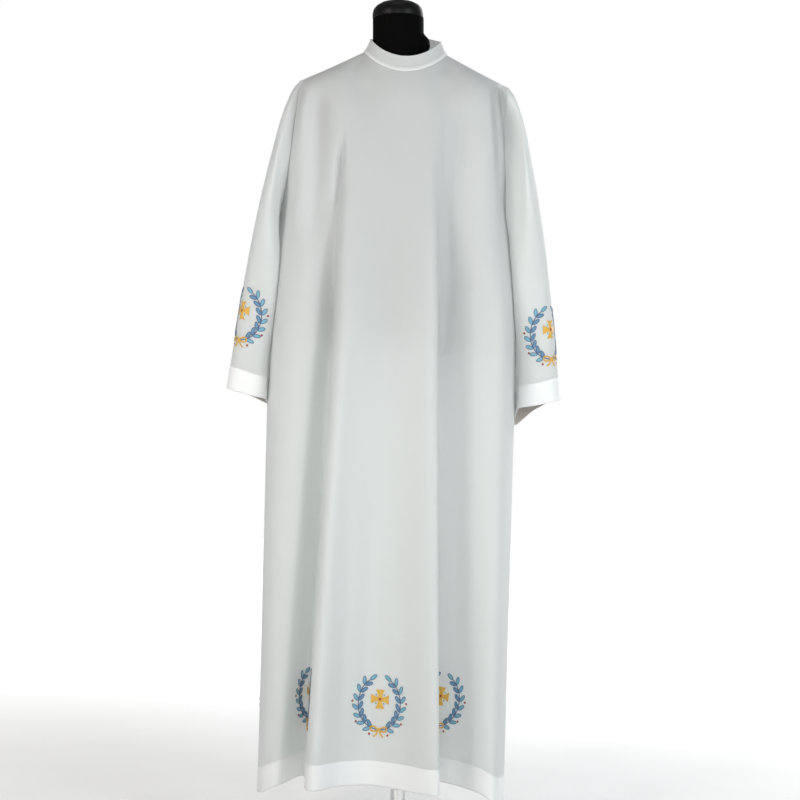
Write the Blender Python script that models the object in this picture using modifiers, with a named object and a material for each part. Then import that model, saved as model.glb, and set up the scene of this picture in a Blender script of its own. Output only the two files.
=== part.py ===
"""Alb robe worn by a limbless dress form, at real size.

Metres, +Z up, the front faces -Y, and the origin is on the floor, under the middle of the whole.
The form is drawn about its own axis. The robe is drawn in its own upright frame and then set on the form, a
little to one side, by on_the_form(). An empty at PLACE holds them both.
Its body is a front and two backs, which hang in folds from a smooth yoke. The sleeves leave it at the
armholes.
"""

from collections import namedtuple
from math import cos, exp, hypot, pi, radians, sin

import bpy
import numpy as np
from mathutils import Vector
from mathutils.bvhtree import BVHTree

# ---- Driving dimensions of the robe, in its own frame ----
HEM_HEIGHT = 0.060  # of the hem at the side seams, above the floor
HEM_LIFT_POWER = 2.4
HEM_LIFT = 0.056  # the hem rises this much in front and behind, where the cloth goes over chest and back
HEM_DEPTH = 0.050  # the turned-up hem
WAIST = 0.940  # the height where the folds have come clear of the form
UNDERARM = 1.200
YOKE = 1.390  # above this the cloth turns over the shoulders
SHOULDER = Vector((0.208, 0.002, 1.482))
NECK_POINT = Vector((0.081, 0.000, 1.544))
NECK_SHARE = 0.40  # the neck points, as a share of the panel's half width
NECK_FRONT = Vector((0.0, -0.072, 1.495))
NECK_BACK = Vector((0.0, 0.064, 1.553))
COLLAR_TOP_HALF = 0.070
COLLAR_TOP_FRONT = Vector((0.0, -0.061, 1.526))
COLLAR_TOP_BACK = Vector((0.0, 0.057, 1.590))
COLLAR_TOP_SIDE = 1.570
COLLAR_ROWS = 3
NECK_DIP_POWER = 1.5
NECK_FRONT_LEAN = 0.83  # how steeply the cloth climbs to the neckline
NECK_BACK_LEAN = 0.62
SHOULDER_SLOPE = 0.47
SHOULDER_HOLLOW = 0.001
CORNER_ASIDE = 0.7  # near a neck point the cloth's columns come in from the side
CORNER_SHARE = 0.45
ASIDE_SHORTER = 0.65
CLOTH = 0.0018
HEM_CLOTH = 0.0030  # turned up, so in three layers
COLLAR_CLOTH = 0.0026
SEAM = 0.0003
TURN_LEAST = 0.45  # limits how far a wall's corner moves where the cloth turns sharply
FORM_CLEAR = 0.0010  # from the form to the cloth's inner side, at the points of its grid
COLLAR_CLEAR = 0.0022
FORM_REACH = 0.05

PLACE = Vector((0.0096, 0.0080, 0.0))  # of the form's axis

# ---- How the robe sits on the form ----
SLANT = radians(2.0)  # it hangs with one shoulder lower
SLANT_ABOUT = 0.850
ASIDE = -0.010

# Heights of the robe's body, with its half width, how far its middle is to one side, and how far it reaches
# to the front and the back. The edges are those of the front and the back panel: one line down the side, and
# the two sides of the armhole above the underarm.
Level = namedtuple("Level", "height half aside front back front_edge back_edge")
LEVELS = [
    Level(0.060, 0.2440, 0.000, -0.150, 0.145, 0.012, 0.012),
    Level(0.500, 0.2475, -0.002, -0.150, 0.143, 0.012, 0.012),
    Level(0.940, 0.2480, -0.006, -0.149, 0.140, 0.012, 0.012),
    Level(1.090, 0.2430, -0.009, -0.147, 0.138, 0.010, 0.010),
    Level(1.200, 0.2350, -0.008, -0.145, 0.136, 0.008, 0.008),
    Level(1.250, 0.2225, -0.006, -0.142, 0.134, -0.036, 0.046),
    Level(1.310, 0.2095, -0.003, -0.137, 0.131, -0.062, 0.070),
    Level(1.390, 0.2020, 0.000, -0.122, 0.122, -0.056, 0.064),
]

# The folds, from one side seam to the other: a share of the half width at the chest, the place in plan at the
# waist and at the hem, the height at which the fold begins, and the steps of the grid from it to the next.
# Front and back have as many steps as each other from a neck point to a side.
Fold = namedtuple("Fold", "name share waist_x waist_y hem_x hem_y begins steps")
FRONT_FOLDS = [
    Fold("right_side", -1.00, -0.254, 0.012, -0.245, 0.012, 1.20, 5),
    Fold("right_ridge", -0.84, -0.219, -0.096, -0.222, -0.142, 1.30, 4),
    Fold("right_valley", -0.54, -0.116, -0.112, -0.103, -0.130, 1.37, 4),
    Fold("panel_right_ridge", -0.40, -0.108, -0.166, -0.138, -0.230, 1.37, 5),
    Fold("panel_hollow", -0.08, -0.018, -0.150, -0.028, -0.168, 1.30, 5),
    Fold("panel_left_ridge", 0.29, 0.077, -0.169, 0.109, -0.238, 1.37, 3),
    Fold("left_valley", 0.40, 0.078, -0.118, 0.076, -0.136, 1.38, 6),
    Fold("left_ridge", 0.82, 0.207, -0.114, 0.218, -0.168, 1.30, 7),
    Fold("left_side", 1.00, 0.243, 0.012, 0.249, 0.012, 1.20, 0),
]
BACK_FOLDS = [
    Fold("right_side", -1.00, -0.254, 0.012, -0.245, 0.012, 1.20, 5),
    Fold("right_ridge", -0.85, -0.222, 0.096, -0.224, 0.132, 1.28, 4),
    Fold("right_valley", -0.62, -0.140, 0.112, -0.146, 0.122, 1.36, 4),
    Fold("inner_right_ridge", -0.40, -0.106, 0.150, -0.128, 0.210, 1.36, 4),
    Fold("inner_right_valley", -0.20, -0.058, 0.122, -0.062, 0.138, 1.34, 4),
    Fold("middle", 0.00, 0.002, 0.160, 0.004, 0.222, 1.32, 4),
    Fold("inner_left_valley", 0.21, 0.060, 0.120, 0.068, 0.134, 1.34, 4),
    Fold("inner_left_ridge", 0.40, 0.108, 0.152, 0.132, 0.214, 1.36, 4),
    Fold("left_valley", 0.63, 0.142, 0.110, 0.150, 0.118, 1.36, 4),
    Fold("left_ridge", 0.86, 0.222, 0.098, 0.226, 0.134, 1.28, 5),
    Fold("left_side", 1.00, 0.243, 0.012, 0.249, 0.012, 1.20, 0),
]
# Long hollows of the front beside the armholes: a line from top to bottom (x, z), its depth and half width.
Hollow = namedtuple("Hollow", "top_x top_z low_x low_z depth width")
FRONT_HOLLOWS = [
    Hollow(0.176, 1.462, 0.196, 1.255, 0.026, 0.013),
    Hollow(-0.202, 1.455, -0.213, 1.270, 0.016, 0.010),
    Hollow(0.150, 1.400, 0.110, 1.270, 0.005, 0.030),
]
HOLLOW_FADE = 0.045  # a hollow fades out over this length past its ends
SECTION_POWER = 2.4  # how square the body's plan is where it is smooth
SIDE_AHEAD = 0.05  # the cloth runs straight from front to back at the side seams, over this length
HEM_ROWS = 2
SKIRT_ROWS = 9
ARMHOLE_HEIGHTS = (1.235, 1.270, 1.310, 1.350, 1.390)
YOKE_ROWS = 6
YOKE_REACH = 0.42  # how far the yoke's curves keep their way, as a share of their length
YOKE_BELOW = 0.010  # the way a column enters the yoke is taken over this height
TOP_BACK_LEAST = 0.02  # at a neck point a column still arrives with a little of the way back
TOP_RISE = 0.04  # how steeply a column arrives at the shoulder seam

# Rings of a sleeve, by the share of the way from armhole to cuff: where the outer line and the underarm line
# are (x, z), how far the ring reaches to the front and the back, and how square it is.
Ring = namedtuple("Ring", "share outer_x outer_z inner_x inner_z front back power")
SLEEVE_RINGS = [
    Ring(0.00, 0.209, 1.4815, 0.2365, 1.199, -0.064, 0.072, 2.0),
    Ring(0.05, 0.222, 1.464, 0.2500, 1.178, -0.078, 0.084, 2.0),
    Ring(0.12, 0.237, 1.423, 0.2550, 1.140, -0.086, 0.092, 2.1),
    Ring(0.25, 0.257, 1.342, 0.2580, 1.082, -0.088, 0.094, 2.2),
    Ring(0.45, 0.284, 1.210, 0.2590, 1.006, -0.082, 0.088, 2.4),
    Ring(0.65, 0.305, 1.076, 0.2600, 0.942, -0.071, 0.077, 2.6),
    Ring(0.85, 0.322, 0.946, 0.2605, 0.880, -0.060, 0.066, 2.8),
    Ring(1.00, 0.333, 0.862, 0.2605, 0.842, -0.053, 0.059, 2.9),
]
SLEEVE_ROWS = (0.0, 0.035, 0.08, 0.14, 0.21, 0.30, 0.41, 0.53, 0.66, 0.79, 0.93, 0.965, 1.0)
CUFF_SHARE = 0.93  # where the cuff's turned-up hem begins
BACK_CORNER = 225  # the angle round the sleeve of its inner back corner
DROP_BEGINS = 0.4  # that corner hangs lower and lower from this share on
DROP_POWER = 1.5
SEWN_SHARE = 0.16  # over this share of its length the sleeve leaves the armhole's own outline
INNER_CLOSER = {"left": 0.013, "right": 0.0}  # the underarm line keeps closer to the body on one side
BACK_DROP = {"left": 0.036, "right": 0.010}  # the cuff's inner back corner hangs lower

# Hollows in a sleeve: angle round it (0 outer line, 90 front, 180 underarm), how far down, depth and widths.
Crease = namedtuple("Crease", "angle share depth angle_width share_width")
SLEEVE_CREASES = [
    Crease(118, 0.13, 0.016, 24, 0.12),
    Crease(52, 0.10, 0.006, 16, 0.12),
    Crease(242, 0.13, 0.014, 24, 0.12),
    Crease(80, 0.52, 0.005, 26, 0.16),
    Crease(275, 0.60, 0.006, 28, 0.18),
]

# ---- The dress form, about the origin's own axis ----
Section = namedtuple("Section", "height half front back power")  # a higher power is squarer
FORM_SECTIONS = [
    Section(0.934, 0.150, -0.099, 0.104, 2.2),
    Section(0.960, 0.153, -0.103, 0.108, 2.2),
    Section(1.010, 0.151, -0.104, 0.106, 2.2),
    Section(1.080, 0.143, -0.098, 0.094, 2.2),
    Section(1.150, 0.148, -0.104, 0.096, 2.2),
    Section(1.220, 0.160, -0.114, 0.104, 2.2),
    Section(1.290, 0.170, -0.121, 0.110, 2.2),
    Section(1.350, 0.178, -0.116, 0.110, 2.2),
    Section(1.400, 0.186, -0.104, 0.104, 2.2),
    Section(1.436, 0.196, -0.090, 0.094, 2.2),
    Section(1.458, 0.199, -0.080, 0.086, 2.1),
    Section(1.474, 0.195, -0.073, 0.080, 2.0),
    Section(1.488, 0.175, -0.067, 0.073, 1.8),
    Section(1.500, 0.150, -0.061, 0.065, 1.65),
    Section(1.512, 0.117, -0.056, 0.059, 1.55),
    Section(1.524, 0.084, -0.0525, 0.0535, 1.55),
    Section(1.536, 0.0590, -0.0510, 0.0515, 1.85),
    Section(1.548, 0.0520, -0.0505, 0.0505, 2.0),
    Section(1.570, 0.0510, -0.0500, 0.0500, 2.0),
    Section(1.612, 0.0510, -0.0500, 0.0500, 2.0),
]
FORM_SIDES = 36
POLE_RADIUS = 0.016
FOOT_RADIUS = 0.170
FOOT_THICK = 0.006
CAP_RADIUS = 0.0515
CAP_BASE = 1.6123
CAP_TOP = 1.648
CAP_WALL = 0.010  # the height of the cap's upright side
CAP_ANGLES = (18, 36, 54, 72, 90)
CAP_FULLNESS = 0.8  # below 1 the dome is fuller than an ellipse
KNOB_TOP = 1.678
KNOB_PROFILE = ((0.0, 0.0), (0.007, 0.001), (0.012, 0.005), (0.014, 0.012), (0.012, 0.019), (0.0075, 0.024))
KNOB_STEM = 0.0075
FOOT_EDGE = 0.0015
BUTTON_SIDES = 16
BUTTON_RADIUS = 0.0055
BUTTON_THICK = 0.0024
BUTTON_IN = 0.0085  # from the collar's end
BUTTON_OFF = 0.0006
ROUND_SIDES = 32


# ---- Small tools ----
def curve_through(keys, values, at):
    """The smooth curve through values at keys, read at one key or at many."""
    keys, values = np.asarray(keys, float), np.asarray(values, float)
    widths = np.diff(keys)[:, None]
    steps = np.diff(values, axis=0) / widths
    inner = (steps[:-1] * widths[1:] + steps[1:] * widths[:-1]) / (widths[:-1] + widths[1:])
    slopes = np.concatenate([steps[:1], inner, steps[-1:]])
    at = np.asarray(at, float)
    i = np.clip(np.searchsorted(keys, at, side="right") - 1, 0, len(keys) - 2)
    width = (keys[i + 1] - keys[i])[..., None]
    t = (at - keys[i])[..., None] / width
    rise = values[i + 1] - values[i]
    bend = t * (1 - t) * ((1 - t) * (slopes[i] * width - rise) - t * (slopes[i + 1] * width - rise))
    return values[i] + t * rise + bend


def smooth_step(share):
    share = min(max(share, 0.0), 1.0)
    return share * share * (3 - 2 * share)


def mixed(a, b, share):
    return a + (b - a) * share


def squared(angle, power):
    """Cosine and sine of a superellipse, which is squarer as power grows."""
    c, s = cos(angle), sin(angle)
    return (
        abs(c) ** (2 / power) * (1 if c >= 0 else -1),
        abs(s) ** (2 / power) * (1 if s >= 0 else -1),
    )


def on_the_form(point):
    """From the robe's own frame to the model's: turned about the line of sight, and moved aside."""
    x, up = point[0], point[2] - SLANT_ABOUT
    return Vector((
        x * cos(SLANT) + up * sin(SLANT) + ASIDE,
        point[1],
        up * cos(SLANT) - x * sin(SLANT) + SLANT_ABOUT,
    ))


def material(name, colour, roughness, metallic=0.0):
    made = bpy.data.materials.new(name)
    made.use_nodes = True
    shader = made.node_tree.nodes["Principled BSDF"]
    shader.inputs["Base Color"].default_value = (*colour, 1.0)
    shader.inputs["Roughness"].default_value = roughness
    shader.inputs["Metallic"].default_value = metallic
    return made


def new_object(name, mesh, finish, collection):
    made = bpy.data.objects.new(name, mesh)
    mesh.materials.append(finish)
    collection.objects.link(made)
    return made


def grid_faces(rows, closed):
    """The quads through rows of points, as pairs of row and column."""
    across = len(rows[0])
    steps = across if closed else across - 1
    return [
        ((r, c), (r, (c + 1) % across), (r + 1, (c + 1) % across), (r + 1, c))
        for r in range(len(rows) - 1)
        for c in range(steps)
    ]


def new_mesh(name, points, faces):
    mesh = bpy.data.meshes.new(name)
    mesh.from_pydata([tuple(p) for p in points], [], faces)
    mesh.shade_smooth()
    return mesh


# ---- Cloth: sheets that meet at seams, each given its thickness as a piece of its own ----
Sheet = namedtuple("Sheet", "name skin rows closed thick hem_rows hem_thick")  # a skin is smooth across seams


def place_key(point):
    """The same for points of two sheets that are sewn to each other there."""
    return tuple(round(c, 6) for c in point)


def quad_normal(rows, quad):
    a, b, c, d = (rows[r][k] for r, k in quad)
    return (c - a).cross(d - b).normalized()


def edge_quads(sheet):
    """The edges of a sheet, each with the one quad it belongs to."""
    found = {}
    for quad in grid_faces(sheet.rows, sheet.closed):
        for a, b in zip(quad, quad[1:] + quad[:1]):
            twin = found.pop((b, a), None)
            if twin is None:
                found[(a, b)] = quad
    return found


def cloth_pieces(collection, sheets, finish):
    """Makes every sheet an object with thickness, set off a little from the sheets it is sewn to."""
    normals, sewn = {}, {}
    for sheet in sheets:
        for quad in grid_faces(sheet.rows, sheet.closed):
            for r, c in quad:
                skins = normals.setdefault(place_key(sheet.rows[r][c]), {})
                skins.setdefault(sheet.skin, []).append(quad_normal(sheet.rows, quad))
        for a, b in edge_quads(sheet):
            pair = frozenset(place_key(sheet.rows[r][c]) for r, c in (a, b))
            sewn[pair] = sewn.get(pair, 0) + 1
    for sheet in sheets:
        make_piece(collection, sheet, normals, sewn, finish)


def make_piece(collection, sheet, normals, sewn, finish):
    rows, edges = sheet.rows, edge_quads(sheet)
    away = {}
    for (a, b), quad in edges.items():
        start, end = rows[a[0]][a[1]], rows[b[0]][b[1]]
        if sewn[frozenset((place_key(start), place_key(end)))] > 1:
            inward = quad_normal(rows, quad).cross(end - start).normalized()
            away.setdefault(a, []).append(inward)
            away.setdefault(b, []).append(inward)
    outer, inner, number = [], [], {}
    for r, row in enumerate(rows):
        for c, point in enumerate(row):
            number[(r, c)] = len(outer)
            around = [sum(skin, Vector()).normalized() for skin in normals[place_key(point)].values()]
            normal = sum(around, Vector()).normalized()
            ways = away.get((r, c), [])
            pulled = point.copy()
            if ways:
                own = ways[0] + ways[-1]
                tilt = max(TURN_LEAST, own.normalized().cross(normal).length)
                pulled += own * (SEAM / 2 / tilt) / (1 + ways[0].dot(ways[-1]))
            thick = sheet.hem_thick if r in sheet.hem_rows else sheet.thick
            square = max(around[0].dot(normal), TURN_LEAST)
            outer.append(pulled)
            inner.append(pulled - normal * thick / square)
    shift = len(outer)
    faces = []
    for quad in grid_faces(rows, sheet.closed):
        w, x, y, z = (number[place] for place in quad)
        if (outer[w] - outer[y]).length > (outer[x] - outer[z]).length:
            w, x, y, z = x, y, z, w
        faces += [(w, x, y), (w, y, z), (y + shift, x + shift, w + shift), (z + shift, y + shift, w + shift)]
    for a, b in edges:
        i, j = number[a], number[b]
        if place_key(rows[a[0]][a[1]]) < place_key(rows[b[0]][b[1]]):
            faces += [(j, i, j + shift), (i, i + shift, j + shift)]
        else:
            faces += [(j, i, i + shift), (j, i + shift, j + shift)]
    new_object(sheet.name, new_mesh(sheet.name, outer + inner, faces), finish, collection)


# ---- The dress form ----
def form_point(section, angle):
    """A point of the form: angle 0 is its side at +X, and it turns through the back."""
    c, s = squared(angle, section.power)
    return Vector((section.half * c, s * (section.back if s > 0 else -section.front), section.height))


def make_form(collection, black):
    rings = [[form_point(s, 2 * pi * k / FORM_SIDES) for k in range(FORM_SIDES)] for s in FORM_SECTIONS]
    points = [point for ring in rings for point in ring]
    faces = [[r * FORM_SIDES + c for r, c in quad] for quad in grid_faces(rings, True)]
    faces += [list(range(FORM_SIDES))[::-1], list(range(len(points) - FORM_SIDES, len(points)))]
    new_object("form_torso", new_mesh("form_torso", points, faces), black, collection)
    return BVHTree.FromPolygons(points, faces)


def turned(name, profile, finish, collection):
    """A solid of revolution about the vertical axis, from (radius, height) points, top to bottom."""
    mesh = bpy.data.meshes.new(name)
    mesh.from_pydata([(r, 0.0, z) for r, z in profile], [(i, i + 1) for i in range(len(profile) - 1)], [])
    made = new_object(name, mesh, finish, collection)
    spin = made.modifiers.new("turned", "SCREW")
    spin.steps = spin.render_steps = ROUND_SIDES
    spin.use_merge_vertices, spin.merge_threshold = True, 0.00005
    spin.use_smooth_shade = True
    return made


def make_stand(collection, black, steel):
    knob = [(radius, KNOB_TOP - below) for radius, below in KNOB_PROFILE]
    knob += [(KNOB_STEM, CAP_TOP + SEAM), (0.0, CAP_TOP + SEAM)]
    turned("form_knob", knob, black, collection)
    wall = CAP_BASE + CAP_WALL
    dome = [(0.0, CAP_TOP)]
    for angle in CAP_ANGLES:
        out, up = sin(radians(angle)) ** CAP_FULLNESS, cos(radians(angle))
        dome.append((CAP_RADIUS * out, wall + (CAP_TOP - wall) * up))
    turned("form_neck_cap", [*dome, (CAP_RADIUS, CAP_BASE), (0.0, CAP_BASE)], black, collection)
    top, low = FORM_SECTIONS[0].height - SEAM, FOOT_THICK + SEAM
    turned("stand_pole", [(0.0, top), (POLE_RADIUS, top), (POLE_RADIUS, low), (0.0, low)], steel, collection)
    foot = [(0.0, FOOT_THICK), (FOOT_RADIUS - FOOT_EDGE, FOOT_THICK), (FOOT_RADIUS, FOOT_THICK - FOOT_EDGE)]
    turned("stand_foot", foot + [(FOOT_RADIUS, 0.0), (0.0, 0.0)], steel, collection)


# ---- The robe's body ----
def level_at(height):
    height = max(height, LEVELS[0].height)
    return Level(*curve_through([row.height for row in LEVELS], [list(row) for row in LEVELS], height))


def chest_place(share, height, front):
    """Where the smooth body is at that share of its half width: x and y."""
    level = level_at(height)
    edge, depth = (level.front_edge, level.front) if front else (level.back_edge, level.back)
    bow = (1 - min(abs(share), 1.0) ** SECTION_POWER) ** (1 / SECTION_POWER)
    return np.array([level.aside + share * level.half, edge + (depth - edge) * bow])


def fold_place(fold, height, front):
    """Where a fold's line is at that height: smooth chest above, then the waist's plan, then the hem's."""
    waist, hem = np.array([fold.waist_x, fold.waist_y]), np.array([fold.hem_x, fold.hem_y])
    if height <= WAIST:
        return mixed(waist, hem, (WAIST - height) / (WAIST - HEM_HEIGHT))
    chest = chest_place(fold.share, height, front)
    return mixed(chest, waist, smooth_step((fold.begins - height) / (fold.begins - WAIST)))


def body_plan(folds, height, front):
    """x and y of the body's columns at a height, from one side seam to the other."""
    places = [fold_place(f, height, front) for f in folds]
    ahead = np.array([0.0, SIDE_AHEAD if front else -SIDE_AHEAD])
    ends = np.array([places[0] + ahead, *places, places[-1] + ahead])
    keys = np.cumsum(np.linalg.norm(np.diff(ends, axis=0), axis=1) ** 0.5)
    keys = np.concatenate([[0.0], keys])
    at = np.interp(columns_of(folds)[0], range(-1, len(folds) + 1), keys)
    return curve_through(keys, ends, at)


def columns_of(folds):
    """For every column of the grid, where it is among the folds, and its share of the half width."""
    at = []
    for k, fold in enumerate(folds):
        at += [k + step / fold.steps for step in range(fold.steps)]
    at.append(len(folds) - 1)
    return at, np.interp(at, range(len(folds)), [f.share for f in folds])


def neck_columns(folds):
    """The columns of the two neck points."""
    shares = list(columns_of(folds)[1])
    return shares.index(-NECK_SHARE), shares.index(NECK_SHARE)


def neck_turn(column, folds):
    """The way round the neck of a column, from one neck point to the other."""
    first, last = neck_columns(folds)
    return mixed(-pi / 2, pi / 2, (column - first) / (last - first))


def top_place(column, folds, front):
    """Where a column ends, on the shoulder seam or the neckline, and the way it arrives there."""
    across = len(columns_of(folds)[1])
    first, last = neck_columns(folds)
    side = -1 if column <= (first + last) / 2 else 1
    if first < column < last:
        turn = neck_turn(column, folds)
        middle, lean = (NECK_FRONT, NECK_FRONT_LEAN) if front else (NECK_BACK, NECK_BACK_LEAN)
        round_front = cos(turn)
        place = Vector((
            NECK_POINT.x * abs(sin(turn)),
            mixed(NECK_POINT.y, middle.y, round_front),
            mixed(NECK_POINT.z, middle.z, round_front**NECK_DIP_POWER),
        ))
        aside = abs(sin(turn))
    else:
        out = (first - column) / first if side < 0 else (column - last) / (across - 1 - last)
        place = NECK_POINT.lerp(SHOULDER, out)
        place.z -= SHOULDER_HOLLOW * sin(pi * out)
        lean, round_front = 0.0, 1.0
        aside = CORNER_ASIDE * max(0.0, 1 - out / CORNER_SHARE)
    back_way = (1 if front else -1) * hypot(1 - aside * aside, TOP_BACK_LEAST)
    rise = lean * round_front + SHOULDER_SLOPE * aside + TOP_RISE
    way = Vector((-side * aside, back_way, rise)).normalized() * (1 - ASIDE_SHORTER * aside)
    return Vector((side * place.x, place.y, place.z)), way


def hollowed(point):
    """A point of the front, sunk where a hollow passes."""
    sunk = 0.0
    for hollow in FRONT_HOLLOWS:
        top, low = Vector((hollow.top_x, hollow.top_z)), Vector((hollow.low_x, hollow.low_z))
        here, line = Vector((point.x, point.z)), low - top
        share = (here - top).dot(line) / line.length_squared
        past = max(-share, share - 1, 0.0) * line.length
        off = (here - top - line * share).length
        sunk += hollow.depth * exp(-((off / hollow.width) ** 2) - (past / HOLLOW_FADE) ** 2)
    return point + Vector((0.0, sunk, 0.0))


def yoke_point(low, lower, top, way, share):
    """On the curve that takes a column from the chest over to its top end."""
    reach = (top - low).length * YOKE_REACH
    up = (low - lower).normalized()
    a, b = low + up * reach, top - way * reach
    s = 1 - share
    return low * s**3 + a * (3 * s * s * share) + b * (3 * s * share * share) + top * share**3


def body_rows(folds, front):
    """The rows of points of the body's front or back, from the hem up, in the robe's own frame."""
    shares = columns_of(folds)[1]

    def row(height):
        fall = 1 - min((height - HEM_HEIGHT) / (UNDERARM - HEM_HEIGHT), 1.0)
        plan = body_plan(folds, height, front)
        lifts = HEM_LIFT * fall * np.cos(pi / 2 * abs(shares) ** HEM_LIFT_POWER)
        return [Vector((x, y, height + lift)) for (x, y), lift in zip(plan, lifts)]

    heights = [HEM_HEIGHT + HEM_DEPTH * k / HEM_ROWS for k in range(HEM_ROWS + 1)]
    heights += [mixed(heights[-1], UNDERARM, (k + 1) / SKIRT_ROWS) for k in range(SKIRT_ROWS)]
    rows = [row(h) for h in (*heights, *ARMHOLE_HEIGHTS)]
    low, below = rows[-1], row(YOKE - YOKE_BELOW)
    tops = [top_place(c, folds, front) for c in range(len(shares))]
    for k in range(1, YOKE_ROWS + 1):
        rows.append([yoke_point(low[c], below[c], *tops[c], k / YOKE_ROWS) for c in range(len(shares))])
    if front:
        sewn = HEM_ROWS + SKIRT_ROWS  # up to here the side seam is shared with the back
        rows[sewn + 1:-1] = [[hollowed(p) for p in row] for row in rows[sewn + 1:-1]]
    return rows


def clear_of(form, point, least):
    """The point, or the place nearest to it at least that far off the form."""
    place, normal, _, far = form.find_nearest(point)
    if far < FORM_REACH and (point - place).dot(normal) < least:
        return place + normal * least
    return point


def set_on(form, rows):
    return [[clear_of(form, on_the_form(p), CLOTH + FORM_CLEAR) for p in row] for row in rows]


# ---- Sleeves ----
def armhole(front, back, side):
    """The armhole's points, from the shoulder down its front to the underarm and up its back."""
    low = HEM_ROWS + SKIRT_ROWS
    end = -1 if side == "left" else 0
    return [row[end] for row in front[:low - 1:-1]], [row[end] for row in back[low:]]


def ring_at(share):
    return Ring(*curve_through([r.share for r in SLEEVE_RINGS], [list(r) for r in SLEEVE_RINGS], share))


def sleeve_point(side, share, angle):
    """A point of a sleeve away from the armhole, in the model's frame."""
    ring, out = ring_at(share), 1 if side == "left" else -1
    c, s = squared(angle, ring.power)
    inner_x = ring.inner_x - INNER_CLOSER[side] * sin(pi * share)
    x = (ring.outer_x + inner_x) / 2 + c * (ring.outer_x - inner_x) / 2
    z = (ring.outer_z + ring.inner_z) / 2 + c * (ring.outer_z - ring.inner_z) / 2
    y = (ring.front + ring.back) / 2 + s * (ring.front - ring.back) / 2
    corner = max(0.0, cos(angle - radians(BACK_CORNER)))
    z -= BACK_DROP[side] * corner**DROP_POWER * smooth_step((share - DROP_BEGINS) / (1 - DROP_BEGINS))
    for crease in SLEEVE_CREASES:
        off = (angle - radians(crease.angle)) / radians(crease.angle_width)
        down = (share - crease.share) / crease.share_width
        y += crease.depth * exp(-off * off - down * down) * (1 if s > 0 else -1)
    return on_the_form(Vector((out * x, y, z)))


def sleeve_rings(front, back, side):
    down, up = armhole(front, back, side)
    loop = down + up[1:]
    lengths = np.concatenate([[0.0], np.cumsum([(b - a).length for a, b in zip(loop, loop[1:])])])
    under = lengths[len(down) - 1]
    angles = np.interp(lengths, [0.0, under, lengths[-1]], [0.0, pi, 2 * pi])[:-1]
    found = []
    for share in SLEEVE_ROWS:
        free = smooth_step(share / SEWN_SHARE)
        ring = []
        for angle, sewn in zip(angles, loop):
            point = sleeve_point(side, share, angle)
            moved = sewn + point - sleeve_point(side, 0.0, angle)
            ring.append(mixed(moved, point, free) if share else sewn)
        found.append(ring)
    return found if side == "left" else [ring[::-1] for ring in found]


# ---- Collar and its button ----
def collar_rings(front, back, form):
    """The collar's rings, from the middle of the back round the wearer's right to the middle again."""
    rows = {True: front, False: back}
    path = []
    for is_front, folds in ((False, BACK_FOLDS), (True, FRONT_FOLDS), (False, BACK_FOLDS)):
        first, last = neck_columns(folds)
        middle = (first + last) // 2
        if is_front:
            columns = range(first, last)
        else:
            columns = range(middle, first, -1) if not path else range(last, middle - 1, -1)
        path += [(is_front, neck_turn(c, folds), rows[is_front][-1][c]) for c in columns]
    base, tip = [], []
    for is_front, turn, point in path:
        middle = COLLAR_TOP_FRONT if is_front else COLLAR_TOP_BACK
        height = mixed(COLLAR_TOP_SIDE, middle.z, cos(turn) ** NECK_DIP_POWER)
        tip.append(on_the_form(Vector((COLLAR_TOP_HALF * sin(turn), middle.y * cos(turn), height))))
        base.append(point)
    rings = [[b.lerp(t, k / COLLAR_ROWS) for b, t in zip(base, tip)] for k in range(COLLAR_ROWS + 1)]
    return [rings[0]] + [[clear_of(form, p, COLLAR_CLOTH + COLLAR_CLEAR) for p in ring] for ring in rings[1:]]


def make_button(collection, rings, shell):
    """Set against the collar's outer side, beside its end."""
    corner, beside, above = rings[1][0], rings[1][1], rings[2][0]  # of the middle one of its three strips
    along, up = (beside - corner).normalized(), (above - corner).normalized()
    out = up.cross(along).normalized()
    out = -out if out.y < 0 else out
    bpy.ops.mesh.primitive_cylinder_add(vertices=BUTTON_SIDES, radius=BUTTON_RADIUS, depth=BUTTON_THICK)
    button = bpy.context.object
    button.name = button.data.name = "collar_button"
    button.location = corner.lerp(above, 0.5) + along * BUTTON_IN + out * (BUTTON_THICK / 2 + BUTTON_OFF)
    button.rotation_mode = "QUATERNION"
    button.rotation_quaternion = out.to_track_quat("Z", "Y")
    button.data.materials.append(shell)
    for other in list(button.users_collection):
        other.objects.unlink(button)
    collection.objects.link(button)


def make_robe(collection, form, cloth, shell):
    front = set_on(form, body_rows(FRONT_FOLDS, True))
    back = set_on(form, body_rows(BACK_FOLDS, False))
    middle = sum(fold.steps for fold in BACK_FOLDS) // 2
    hem = range(HEM_ROWS + 1)
    cuff = [k for k, share in enumerate(SLEEVE_ROWS) if share >= CUFF_SHARE]
    collar = collar_rings(front, back, form)
    sheets = [
        Sheet("alb_front", "body", front, False, CLOTH, hem, HEM_CLOTH),
        Sheet("alb_back_right", "body", [row[middle::-1] for row in back], False, CLOTH, hem, HEM_CLOTH),
        Sheet("alb_back_left", "body", [row[:middle - 1:-1] for row in back], False, CLOTH, hem, HEM_CLOTH),
        Sheet("alb_sleeve_left", "sleeve", sleeve_rings(front, back, "left"), True, CLOTH, cuff, HEM_CLOTH),
        Sheet("alb_sleeve_right", "sleeve", sleeve_rings(front, back, "right"), True, CLOTH, cuff, HEM_CLOTH),
        Sheet("alb_collar", "collar", collar, False, COLLAR_CLOTH, (), COLLAR_CLOTH),
    ]
    cloth_pieces(collection, sheets, cloth)
    make_button(collection, collar, shell)


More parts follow.
